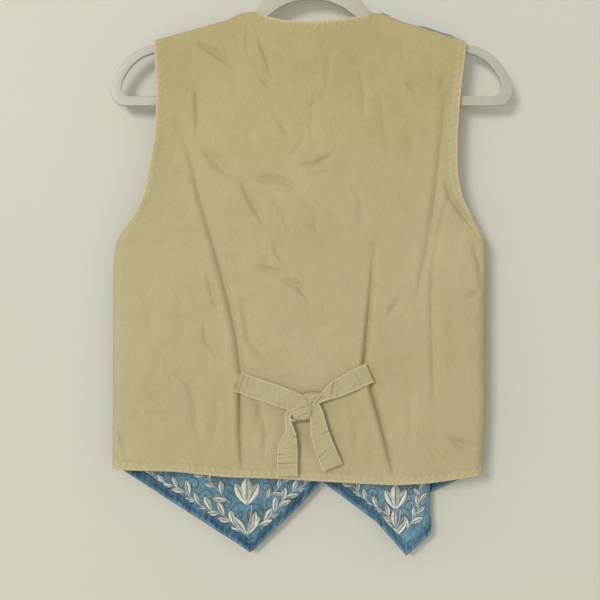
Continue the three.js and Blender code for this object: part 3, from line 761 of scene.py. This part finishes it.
RIGHT_SIDE_SHARES = np.concatenate([EDGE_STEPS / 96, np.linspace(12 / 96, 1, 34)[1:-1]])
RIGHT_CENTRE_SHARES = np.linspace(0, 1, 56)[1:]
BEND_STEPS = 14
BEND_LENGTH = math.pi * FOLD_RADIUS


def right_section(down):
    """Cross-section of the right front at one height: side part, S pleat, centre part."""
    side = float(read(RIGHT_EDGES, down, 1, 3))
    inner = float(read(RIGHT_EDGES, down, 2, 3))
    closing = float(smooth(UNDERARM - 20, UNDERARM + 110, down))
    turn = math.pi * FLATTENED * closing
    half = lerp(0.6, FOLD_REACH - FOLD_RADIUS, float(smooth(UNDERARM + 45, 505, down)))
    depth = float(front_depth(down))
    middle_y = depth + FOLD_RADIUS * closing
    bend = [(-math.cos(turn) * half, -math.sin(turn) * half)]
    for step in range(BEND_STEPS):
        heading = turn * (1 - (step + 0.5) / BEND_STEPS)
        x, y = bend[-1]
        length = BEND_LENGTH / BEND_STEPS
        bend.append((x - math.cos(heading) * length, y - math.sin(heading) * length))
    first = [(FOLD_MIDDLE - x, middle_y - y) for x, y in reversed(bend)]
    second = [(FOLD_MIDDLE + x, middle_y + y) for x, y in bend]
    across = np.linspace(0, 1, 8)[1:-1]
    back = [(lerp(first[-1][0], second[0][0], t), lerp(first[-1][1], second[0][1], t))
            for t in across]
    outer = [(lerp(side, first[0][0], s), first[0][1]) for s in RIGHT_SIDE_SHARES]
    from_x, from_y = second[-1]
    inner_y = depth + PLACKET_STEP * float(smooth(150, 212, down))
    centre = [(lerp(from_x, inner, s), lerp(from_y, inner_y, float(smooth(0.3, 0.75, s))))
              for s in RIGHT_CENTRE_SHARES]
    return np.array(outer + first + back + second + centre)


def right_along():
    pleat = 2 * (BEND_STEPS + 1) + 6
    return np.concatenate([RIGHT_SIDE_SHARES, 1 + np.arange(pleat) / (pleat - 1),
                           2 + RIGHT_CENTRE_SHARES])


def right_front():
    along = right_along()
    top_x = right_section(0.0)[:, 0]
    rolled = smooth(112, 126, top_x) * smooth(168, 156, top_x)
    rolled += 0.7 * smooth(76, 80, top_x) * smooth(92, 86, top_x)
    top = back_top(top_x) - SHOULDER_SHOW * rolled
    hem = read(RIGHT_HEM, along)
    down = downs_of(top, hem, 170, last=15, fine=10)
    heights = np.arange(0.0, BELOW_POINTS, 1.0)
    sections = np.stack([right_section(h) for h in heights])
    columns = np.arange(len(along))
    x, y = (np.stack([np.interp(down[:, c], heights, sections[:, c, k]) for c in columns], 1)
            for k in (0, 1))
    inward = read(RIGHT_EDGES, down, 1, 3) - x
    relief = front_relief(x, down, 30) * smooth(2, 30, inward) * smooth(2.1, 2.5, along)
    y = (y + relief) * round_side(inward, down) * over_arm(x, down - top[None, :])
    points = place(x, SEAM_GAP / 2 + y, down)
    normals = grid_normals(points)
    hold_seams(points, normals, -1, [0])
    return points, normals


def front_pieces(name, panel, inside):
    """A denim front and the turned-in border along its points, puckered by its stitching."""
    points, normals = panel
    half = DENIM / 2
    materials = [DENIM_OUTSIDE, DENIM_INSIDE] if inside < 0 else [DENIM_INSIDE, DENIM_OUTSIDE]
    front = shell(f"denim_{name}", points, normals, -half, half, materials)
    rows = 9
    strip = points[-rows:].copy()
    strip_normals = normals[-rows:]
    across = np.linspace(1, 0, rows)[:, None]
    run = measured(strip[-1])[None, :]
    rope = 0.8 * ripple(run / 5.1 + across * 0.5) + 0.6 * ripple(run / 3.3 - across * 0.4, 1)
    raised = 0.36 * rope * np.sin(math.pi * clamp01(across * 1.1)) + 0.3 * np.sin(math.pi * across)
    strip = strip + strip_normals * (inside * raised)[..., None]
    near, far = half + SEAM_GAP, half + SEAM_GAP + HEM_FOLD
    levels = sorted([inside * near, inside * far])
    border = shell(f"denim_{name}_turning", strip, strip_normals, *levels, [DENIM_BORDER])
    rubbed = 0.75 * bell(across - 0.12, 0.16) + 0.35 * bell(across - 0.9, 0.1)
    set_wear(border, clamp01(rubbed + 0.3 * rope))
    attach(border, "denim", f"{name}_border")
    finish_cloth(front, name, "denim")
    return strip + strip_normals * inside * far


# --- belt ---
def belt_surface(x, down, lift):
    """Middle of the tape where it lies over the back, with room for the back's relief."""
    return back_y(x, down, relief=False) - RELIEF_ROOM - LAY_GAP - TAPE / 2 - lift


def belt_grid(name, columns=21, step=0.75):
    rows = np.array(BELT[name], float)
    at = measured(rows[:, :2])
    s = np.linspace(0, at[-1], int(at[-1] / step))
    table = np.column_stack([at, rows])
    x, down, width, lift = (read(table, s, k, 5) for k in (1, 2, 3, 4))
    run = np.stack([np.gradient(x), np.gradient(down)])
    run /= np.hypot(*run)
    share = np.linspace(-1, 1, columns)[None, :]
    half = (width / 2)[:, None]
    gx = x[:, None] - run[1][:, None] * share * half
    gd = down[:, None] + run[0][:, None] * share * half
    return gx, gd, lift[:, None], s, share, half


def belt_stretch(name):
    """One stretch of the belt: pressed creases across it and a rounded seam at its edges."""
    gx, gd, lift, s, share, half = belt_grid(name)
    y = belt_surface(gx, gd, lift)
    edge = (1 - np.abs(share)) * half
    relief = 0.35 * bell(edge - 0.6, 1) - 0.3 * bell(edge - 2.2, 0.7)
    for at, deep, slant in PRESSES[name]:
        line = s[:, None] - at * s[-1] - slant * share * half
        fade = 0.65 + 0.35 * np.sin(1.7 * share + 9 * at)
        relief -= deep * fade * bell(line, 0.9)
        relief += 0.7 * deep * fade * bell(line - 2.2, 1.5)
    if name.endswith("strap"):
        relief += (0.7 * smooth(5.6, 4.8, s) - 0.5 * bell(s - 6, 0.7))[:, None]
    relief += waves(gx, gd, 14, (7, 26), 0.16, 60)
    points = place(gx, y - relief, gd)
    normals = grid_normals(points)
    made = shell(name.replace("tie_", "belt_"), points, normals, -TAPE / 2, TAPE / 2, [TAPE_CLOTH])
    set_wear(made, bell(edge, 1.1) + 0 * gx)
    return made, points


def stuffed(outline, base, height, lines):
    """A closed pad over a smooth outline: flat below, rounded over, creased by lines."""
    rim = catmull(np.array(outline, float), 9)
    middle = rim.mean(axis=0)
    rings = 26
    out = np.linspace(0.03, 1, rings)[:, None]
    x = middle[0] + (rim[:, 0] - middle[0])[None, :] * out
    down = middle[1] + (rim[:, 1] - middle[1])[None, :] * out
    dome = (1 - out ** 5) ** 0.42
    relief = sum(crease(x, down, *line) for line in lines) * (1 - out ** 4)
    relief -= waves(x, down, 12, (5, 14), 0.14, 70)
    top = place(x, base - height * dome + relief * dome, down)
    under = place(x, base + 0 * x, down)[-2::-1]
    corners = np.concatenate([top, under]).reshape(-1, 3)
    return corners, tube_faces(2 * rings - 1, len(rim))


def belt_knot():
    """The knot: a turn of the tape, a wrap lying across it, and a rolled edge at its foot."""
    surface = float(back_y(*map(np.array, KNOT_MIDDLE), relief=False)) - TWILL / 2 - LAY_GAP
    sewn = Joined()
    turn_lines = [([(10, 424), (2, 432), (-2, 441)], 1.6, 0.4, 1.9),
                  ([(4, 423), (-3, 428), (-6, 436)], 1.4, 0, 1)]
    wrap_lines = [([(-21, 444), (-11, 439), (-2, 438)], 1.4, -0.4, 1.4),
                  ([(-17, 451), (-9, 447), (-1, 447)], 1.3, 0, 1.4),
                  ([(-12, 428), (-16, 436), (-22, 442)], 1.4, 0, 1)]
    sewn.add(*stuffed(KNOT_TURN, surface - 0.6, 8.2, turn_lines))
    sewn.add(*stuffed(KNOT_WRAP, surface - 0.6, 10.4, wrap_lines))
    roll = np.array([(-21, -6.5, 440.5), (-25, -7, 442.5), (-27.4, -6.6, 446), (-26.4, -6, 450),
                     (-22.5, -6.4, 452.4), (-18.5, -7, 451.5)])
    roll = catmull(roll, 5)[:26]
    sewn.tube(place(roll[:, 0], surface + roll[:, 1], roll[:, 2]), 1.7, 12)
    made = sewn.make("belt_knot", [TAPE_CLOTH])
    attach(made, "twill", "tie_knot")
    return made


PRESSES = {  # share along, deep, slant of each pressed crease
    "tie_left_strap": [(0.17, 0.7, 0.05), (0.5, 0.5, 0.2), (0.66, 1.2, 0.35),
                       (0.76, 0.7, 0.3)],
    "tie_right_strap": [(0.21, 0.8, 0.1), (0.31, 0.5, -0.1), (0.57, 0.8, -0.5),
                        (0.66, 1.9, -0.8)],
    "tie_left_tail": [(0.34, 1, -0.6), (0.47, 1.5, -0.5), (0.66, 1.3, 0.05), (0.79, 1.7, 0)],
    "tie_right_tail": [(0.3, 0.8, 0.3), (0.48, 2, 0.25), (0.73, 1.5, 0.3)],
}
BELT_FLAT = {  # length in metres of each stretch laid flat, and its area in square metres
    "tie_left_strap": (0.0767, 0.00167),
    "tie_right_strap": (0.0732, 0.00128),
    "tie_left_tail": (0.0762, 0.00125),
    "tie_right_tail": (0.0766, 0.00148),
}


def stitch_row(joined, points):
    """Separate stitches along a line of points, each a short thread sunk at its ends."""
    at = measured(points)
    t = np.array([0, 0.25, 0.5, 0.75, 1])
    rise = np.array([-0.25, 0.12, 0.22, 0.12, -0.25])
    radius = STITCH_RADIUS * np.array([0.6, 1, 1, 1, 0.6])
    for k in range(int(at[-1] / STITCH_PITCH)):
        s = (k + 0.12 + 0.76 * t) * STITCH_PITCH
        path = np.stack([np.interp(s, at, points[:, i]) for i in range(3)], axis=1)
        joined.tube(path + OUT_OF_BACK * rise[:, None], radius)


def belt():
    knot = belt_knot()
    thread = Joined()
    for name, (length, area) in BELT_FLAT.items():
        made, points = belt_stretch(name)
        face = points + OUT_OF_BACK * (TAPE / 2 + 0.1)
        for column in (1, -2):
            stitch_row(thread, face[1:-1, column])
        rows = (2, 5) if name.endswith("strap") else (-3,)
        for row in rows:
            stitch_row(thread, face[row, 1:-1])
        finish_cloth(made, name, "twill")
    attach(thread.make("belt_stitches", [STITCH]), "twill")


# --- topstitching ---
def on_back(x, down):
    x, down = np.asarray(x, float), np.asarray(down, float)
    return place(x, back_y(x, down) - TWILL / 2 - 0.05, down)


def back_stitching():
    thread = Joined()
    x = np.arange(-212, 184, 1.0)
    stitch_row(thread, on_back(x, back_hem(x) - HEM_BAND + SEAM_INSET))
    x = np.arange(-60, 62, 1.0)
    stitch_row(thread, on_back(x, back_top(x) + NECK_BAND - SEAM_INSET))
    down = np.arange(40, 250, 1.0)
    stitch_row(thread, on_back(back_edge(1, down) + ARMHOLE_BAND - SEAM_INSET, down))
    stitch_row(thread, on_back(back_edge(2, down) - ARMHOLE_BAND + SEAM_INSET, down))
    attach(thread.make("back_topstitching", [STITCH]), "twill")


def border_stitching(strips):
    """Two rows of stitches on each turned-in border, near its upper and its lower edge."""
    thread = Joined()
    for strip, first, last in strips:
        for row in (2, -2):
            stitch_row(thread, strip[row, first:last] + OUT_OF_BACK * 0.1)
    attach(thread.make("border_topstitching", [DENIM_STITCH]), "denim")


# --- embroidery ---
CREAM_INDEX, ECRU_INDEX, TAUPE_INDEX = range(3)
# A leaf's two halves in two threads: the cream half is painted light on the satin, the ecru half
# painted shade.
LIT_THEN_SHADED_HALVES = (CREAM_INDEX, ECRU_INDEX)  # the threads of a leaf's two halves
SHADED_THEN_LIT_HALVES = (ECRU_INDEX, CREAM_INDEX)


class Cloth:
    """A face of a front to sew on: its surface, the way out of it, and the threads sewn."""

    def __init__(self, panel, columns, out, sewn):
        part = panel[0][:, columns]
        self.x, self.down, self.y = part[..., 0], NECK_POINT_Z - part[..., 2], part[..., 1]
        self.out = out
        self.sewn = sewn

    def thread(self, line, height, radius, sides, index):
        """Sews a thread at a height over the cloth, by the nearest corner of its grid."""
        nearby, middle = 22, self.down.shape[1] // 2
        rows = np.searchsorted(self.down[:, middle], line[:, 1])
        rows = np.clip(rows, 1, len(self.down) - 2)
        y = np.empty(len(line))
        for k, (x, down) in enumerate(line):
            near = slice(max(rows[k] - nearby, 0), rows[k] + nearby)
            gap = (self.x[near] - x) ** 2 + (self.down[near] - down) ** 2
            y[k] = self.y[near].flat[np.argmin(gap)]
        over = place(line[:, 0], y + self.out * (DENIM / 2 + height), line[:, 1])
        self.sewn.tube(over, radius, sides, index)


def satin_leaf(cloth, x, down, heading, length, width, threads):
    """A leaf in satin stitch: slanting threads in two halves, one in cream as painted light and one
    in ecru as painted shade, a rim to each, outline and painted shade in one, and a vein.
    """
    pitch, heights, radii = 0.85, np.array([0.25, 0.75, 0.1]), [0.42, 0.66, 0.42]
    run = np.array([math.cos(heading), math.sin(heading)])
    side = np.array([-run[1], run[0]])
    count = max(6, int(length / pitch))
    s = (np.arange(count) + 0.5) / count
    half = width / 2 * np.sin(math.pi * s ** 0.8) ** 0.9
    base = np.array([x, down]) + run * (s * length)[:, None]
    along = np.array([0, 0.5, 1])[:, None]
    # One half is sewn in cream as painted light, the other in ecru as painted shade; threads says
    # which half gets which.
    for way, index in zip((-1, 1), threads):
        tip = base + side * (half * way)[:, None] + run * (half * 0.7)[:, None]
        for start, end in zip(base, tip):
            line = start + (end - start) * along
            cloth.thread(line, heights, radii, 5, index)
        # The taupe rim outlines the half and also stands in as painted shade along its raised edge.
        rim = np.concatenate([[base[0] - run], tip, [base[-1] + run * 1.8]])
        cloth.thread(rim, 0.4, 0.36, 5, TAUPE_INDEX)
    cloth.thread(base[:-2], 0.75, 0.26, 5, TAUPE_INDEX)


def stem(cloth, x, down, heading, length, turn, radius=0.55):
    """A stem of one thick thread along a wavy arc; returns its points and headings."""
    pitch, sway, wave = 2.2, 0.22, 9
    count = max(6, int(length / pitch))
    headings = heading + turn * np.linspace(0, 1, count)
    headings = headings + sway * np.sin(np.arange(count) * pitch / wave)
    step = length / count
    xs = x + np.cumsum(np.cos(headings)) * step
    downs = down + np.cumsum(np.sin(headings)) * step
    cloth.thread(np.column_stack([xs, downs]), 0.45, radius, 6, ECRU_INDEX)
    return xs, downs, headings


def tendril(cloth, x, down, heading, size, way):
    """A curled tendril, its radius closing along a spiral."""
    t, winding = np.linspace(0, 1, 26), 7.4
    turning = heading + way * winding * t ** 1.2
    step = size * 0.15 * (1 - 0.7 * t)
    xs = x + np.cumsum(np.cos(turning) * step)
    downs = down + np.cumsum(np.sin(turning) * step)
    cloth.thread(np.column_stack([xs, downs]), 0.5, 0.45, 5, TAUPE_INDEX)


def spray(cloth, x, down, degrees, length, turn, leaf, count, curl=1):
    """A stem with leaves on its two sides in turn, and tendrils on its curl side."""
    xs, downs, headings = stem(cloth, x, down, math.radians(degrees), length, turn)
    for k in range(count):
        at = int((k + 0.5) / count * (len(xs) - 1))
        way = 1 if k % 2 else -1
        size = leaf * (1 - 0.3 * k / count) * RNG.uniform(0.85, 1.15)
        toward = headings[at] + way * RNG.uniform(0.4, 0.75)
        slim = size * RNG.uniform(0.38, 0.46)
        # Every third leaf has its painted lit and shaded halves the other way round.
        satin_leaf(cloth, xs[at], downs[at], toward, size, slim, LIT_THEN_SHADED_HALVES if k % 3 else SHADED_THEN_LIT_HALVES)
        if k % 3 == 1:
            tendril(cloth, xs[at], downs[at], headings[at] + 0.7 * curl, leaf, curl)
    satin_leaf(cloth, xs[-1], downs[-1], headings[-1], leaf * 0.8, leaf * 0.28, LIT_THEN_SHADED_HALVES)


def blossom(cloth, x, down, size):
    """A closed tulip: broad overlapping petals in a cup, on a stem with two long leaves."""
    up = -math.pi / 2
    stem(cloth, x, down + size * 1.3, up, size * 1.3, 0.1, 0.7)
    for lean, reach, broad in ((-0.5, 0.95, 0.4), (0.5, 0.95, 0.4), (0, 1.1, 0.5)):
        # The right petal has its painted lit and shaded halves the other way round.
        satin_leaf(cloth, x, down, up + lean, size * reach, size * broad,
                   LIT_THEN_SHADED_HALVES if lean <= 0 else SHADED_THEN_LIT_HALVES)
    for way in (-1, 1):
        # These leaves have their painted lit and shaded halves the other way round.
        satin_leaf(cloth, x + way * 0.5, down + size * 1.15, up + way * 0.62, size * 0.85,
                   size * 0.27, SHADED_THEN_LIT_HALVES)
        tendril(cloth, x + way, down, up + way * 1.3, size * 0.7, way)


def left_motifs(cloth):
    blossom(cloth, -73, 553, 29)
    spray(cloth, -77, 584, 213, 126, -0.05, 19, 16)
    spray(cloth, -69, 583, -45, 86, 0.06, 19, 11, -1)
    spray(cloth, -90, 552, 212, 52, 0.4, 15, 5)
    spray(cloth, -56, 550, -44, 40, -0.3, 14, 4, -1)


def right_motifs(cloth):
    blossom(cloth, 95, 557, 26)
    spray(cloth, 102, 587, 229, 106, -0.3, 16, 14)
    spray(cloth, 107, 583, -68, 56, -0.2, 15, 8, -1)


def edge_motifs(cloth, xs, turn):
    """Sprays that climb the outside of a front, beside its opening."""
    for x, down in zip(xs, (330, 420, 508)):
        spray(cloth, x, down, -90 - 25 * turn, 70, turn, 14, 11)
        turn = -turn


def embroidery(left, right):
    whole = slice(None)
    side = slice(0, len(RIGHT_SIDE_SHARES))
    centre = slice(right[0].shape[1] - len(RIGHT_CENTRE_SHARES), None)
    sewn = Joined()
    left_motifs(Cloth(left, whole, -1, sewn))
    right_motifs(Cloth(right, centre, -1, sewn))
    attach(sewn.make("embroidery_inside", THREADS), "embroidery")
    sewn = Joined()
    outer_left = Cloth(left, whole, 1, sewn)
    outer_centre = Cloth(right, centre, 1, sewn)
    left_motifs(outer_left)
    edge_motifs(outer_left, (-6, -6, -8), 0.2)
    spray(outer_centre, 82, 566, 216, 84, -0.1, 14, 13)
    spray(Cloth(right, side, 1, sewn), 108, 531, -24, 76, 0, 12, 11, -1)
    edge_motifs(outer_centre, (34, 34, 34), -0.2)
    attach(sewn.make("embroidery_outside", THREADS), "embroidery")


# --- buttons ---
def button_body(name, centre, radius, half):
    """The turned button: a rounded rim about a dished face, with a closed back."""
    profile = [(0, -half), (radius * 0.8, -half), (radius * 0.97, -half * 0.5),
               (radius, 0), (radius * 0.97, half * 0.6), (radius * 0.88, half),
               (radius * 0.78, half * 0.9), (radius * 0.68, half * 0.35), (0, half * 0.3)]
    sides = 48
    rings = len(profile) - 2
    angle = np.arange(sides) * 2 * math.pi / sides
    points = []
    for r, y in profile:
        ring = np.stack([r * np.cos(angle), np.full(sides, y), -r * np.sin(angle)], axis=1)
        points.append(ring if r else ring[:1])
    last = 1 + (rings - 1) * sides
    following = [(k + 1) % sides for k in range(sides)]
    faces = [[0, 1 + n, 1 + k] for k, n in enumerate(following)]
    faces += [[1 + i for i in face] for face in turned(ring_faces(rings, sides))]
    faces += [[last + k, last + n, last + sides] for k, n in enumerate(following)]
    return mesh_object(name, np.concatenate(points) + centre, faces, [BUTTON_HORN])


def cut_holes(body, centre, half):
    """Cuts the four thread holes through a button."""
    reach, radius = 1.9, 0.85
    holes = Joined()
    for k in range(4):
        a = math.pi / 4 + k * math.pi / 2
        at = centre + np.array([reach * math.cos(a), 0, reach * math.sin(a)])
        holes.tube([at - [0, half * 2, 0], at + [0, half * 2, 0]], radius, 12)
    cutter = holes.make("button_cutter", [BUTTON_HORN])
    cut = body.modifiers.new("holes", "BOOLEAN")
    cut.object = cutter
    cut.operation = "DIFFERENCE"
    cut.solver = "EXACT"
    graph = bpy.context.evaluated_depsgraph_get()
    solid = bpy.data.meshes.new_from_object(body.evaluated_get(graph))
    body.modifiers.clear()
    body.data = solid
    bpy.data.objects.remove(cutter)


def button(number):
    """A four-hole button, sewn on with a cross of thread."""
    low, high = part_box(f"button_{number}")
    centre = np.array((Vector(low) + Vector(high)) / 2 / MM)
    half = (high[1] - low[1]) / 2 / MM
    body = button_body(f"horn_button_{number}", centre, (high[0] - low[0]) / 2 / MM, half)
    cut_holes(body, centre, half)
    attach(body, "buttons", f"button_{number}")
    thread = Joined()
    t = np.linspace(-1, 1, 7)
    for way in (-1, 1):
        rise = half * 0.35 + 0.7 * (1 - t ** 4) - 0.4
        thread.tube(centre + np.stack([1.35 * t, rise, 1.35 * t * way], axis=1), 0.4, 6)
    attach(thread.make(f"button_thread_{number}", [SLATE]), "buttons")


# --- hanger ---
def catmull(rows, steps):
    """A smooth closed curve through the rows of a table."""
    count = len(rows)
    made = []
    for i in range(count):
        p = [rows[(i + k - 1) % count] for k in range(4)]
        for t in np.arange(steps) / steps:
            made.append(0.5 * (2 * p[1] + (p[2] - p[0]) * t
                               + (2 * p[0] - 5 * p[1] + 4 * p[2] - p[3]) * t ** 2
                               + (3 * p[1] - p[0] - 3 * p[2] + p[3]) * t ** 3))
    return np.array(made)


def hanger_frame():
    """The flat loop-ended frame, a ring with a softly rounded section all the way."""
    mirror = HANGER_RING[-2:0:-1] * np.array([-1, 1, -1, 1])
    ring = catmull(np.concatenate([HANGER_RING, mirror]), 5)
    thick, radius, corner = 2.5, 1.5, 5
    section = []
    for quarter, (cu, cy) in enumerate([(1, 1), (0, 1), (0, -1), (1, -1)]):
        for k in range(corner):
            a = math.pi / 2 * (quarter + k / (corner - 1))
            section.append((cu, cy, math.cos(a), math.sin(a)))
    outer, inner = ring[:, :2], ring[:, 2:]
    across = outer - inner
    width = np.linalg.norm(across, axis=1, keepdims=True)
    across /= width
    rings = []
    for cu, cy, du, dy in section:
        base = inner + across * (radius if cu == 0 else width - radius) + across * du * radius
        y = np.full(len(base), cy * (thick - radius) + dy * radius)
        rings.append(place(base[:, 0], y, base[:, 1]))
    points = np.stack(rings, axis=1)
    faces = turned(ring_faces(len(ring), len(section), closed=True))
    made = mesh_object("flat_hanger", points.reshape(-1, 3), faces, [HANGER_PLASTIC])
    attach(made, "hanger", "hanger_frame")


def hanger_hook():
    """The round hook: a stem that bends into the crook, with a rounded free end."""
    radius, rod, foot = 22, 3, -71.7
    centre_z = rod - radius
    start, arc, bend_from = math.radians(-50), math.radians(250), 0.35
    angle = start + np.linspace(0, 1, 90) * arc
    crook = np.stack([np.cos(angle) * radius, angle * 0, centre_z + np.sin(angle) * radius], 1)
    s = np.linspace(0, 1, 40)[:-1]
    bend = clamp01((s - bend_from) / (1 - bend_from)) ** 1.6
    stem_path = np.stack([crook[0, 0] * bend, s * 0, lerp(foot, crook[0, 2], s)], axis=1)
    path = np.concatenate([stem_path, crook])
    radii = np.full(len(path), float(rod))
    radii[-3:] = [rod * 0.9, rod * 0.7, rod * 0.35]
    points, faces = tube(path, radii, 24)
    made = mesh_object("hanger_crook", points, faces, [HANGER_PLASTIC])
    attach(made, "hanger", "hanger_hook")


# --- stage, light, camera ---
def stage_material(name, colour, see_through_back):
    nodes = Nodes(name, 0.9, specular=0.1)
    low = tuple(c * 0.985 for c in colour)
    material = nodes.colour(nodes.ramp(nodes.noise(3, 3), [(0.3, low), (0.7, colour)]))
    if see_through_back:
        tree = nodes.tree
        clear = tree.nodes.new("ShaderNodeBsdfTransparent")
        mixed = tree.nodes.new("ShaderNodeMixShader")
        facing = tree.nodes.new("ShaderNodeNewGeometry")
        nodes.fill(mixed, {"Fac": facing.outputs["Backfacing"], 1: nodes.shader.outputs["BSDF"],
                           2: clear.outputs["BSDF"]})
        nodes.fill(tree.nodes["Material Output"], {"Surface": mixed.outputs["Shader"]})
    return material


def stage_plane(name, corners, colour, see_through_back=False):
    material = stage_material(name, colour, see_through_back)
    made = mesh_object(name, corners, [[0, 1, 2, 3]], [material], smooth_shade=False)
    return made


def area_light(name, place_at, target, size, power, colour=(1, 1, 1)):
    data = bpy.data.lights.new(name, "AREA")
    data.size = size
    data.energy = power
    data.color = colour
    lamp = bpy.data.objects.new(name, data)
    bpy.context.scene.collection.objects.link(lamp)
    lamp.location = place_at
    lamp.rotation_euler = (Vector(target) - Vector(place_at)).to_track_quat("-Z", "Y").to_euler()


def stage():
    wide, top, floor, wall_y = 3000, 2200, -810, 24
    wall = stage_plane("stage_wall", [(-wide, wall_y, floor), (wide, wall_y, floor),
                                      (wide, wall_y, top), (-wide, wall_y, top)],
                       (0.625, 0.615, 0.53), see_through_back=True)
    wall.visible_shadow = False
    stage_plane("stage_floor", [(-wide, -wide, floor), (wide, -wide, floor),
                                (wide, wide, floor), (-wide, wide, floor)],
                (0.66, 0.65, 0.6))
    middle = (0, 0, -0.42)
    area_light("key", (-2.2, -4.3, 0.9), middle, 1.3, 110, (1, 0.99, 0.97))
    area_light("fill", (-0.4, -3.2, -0.55), (0, 0, -0.6), 1.2, 13)
    area_light("rear", (0.7, 1.7, 0.5), middle, 1.0, 20)
    world = bpy.data.worlds.new("studio")
    bpy.context.scene.world = world
    world.use_nodes = True
    background = world.node_tree.nodes["Background"]
    background.inputs["Color"].default_value = (0.97, 0.98, 1, 1)
    background.inputs["Strength"].default_value = 0.57
    bpy.context.scene.view_settings.view_transform = "Standard"


def camera():
    data = bpy.data.cameras.new("camera")
    view_angle, eye = 38.96, (-0.0129, -0.95, -0.4251)
    data.sensor_width = 36
    data.lens = data.sensor_width / 2 / math.tan(math.radians(view_angle / 2))
    made = bpy.data.objects.new("camera", data)
    bpy.context.scene.collection.objects.link(made)
    made.location = eye
    made.rotation_euler = (math.pi / 2, 0, 0)
    bpy.context.scene.camera = made


def main():
    camera()
    back_panel()
    back_stitching()
    left, right = left_front(), right_front()
    left_strip = front_pieces("front_left", left, -1)
    right_strip = front_pieces("front_right", right, 1)
    border_stitching([(left_strip, 10, -4),
                      (right_strip, -len(RIGHT_CENTRE_SHARES) + 2, -3)])
    belt()
    embroidery(left, right)
    for number in range(1, 6):
        button(number)
    hanger_frame()
    hanger_hook()
    stage()


main()
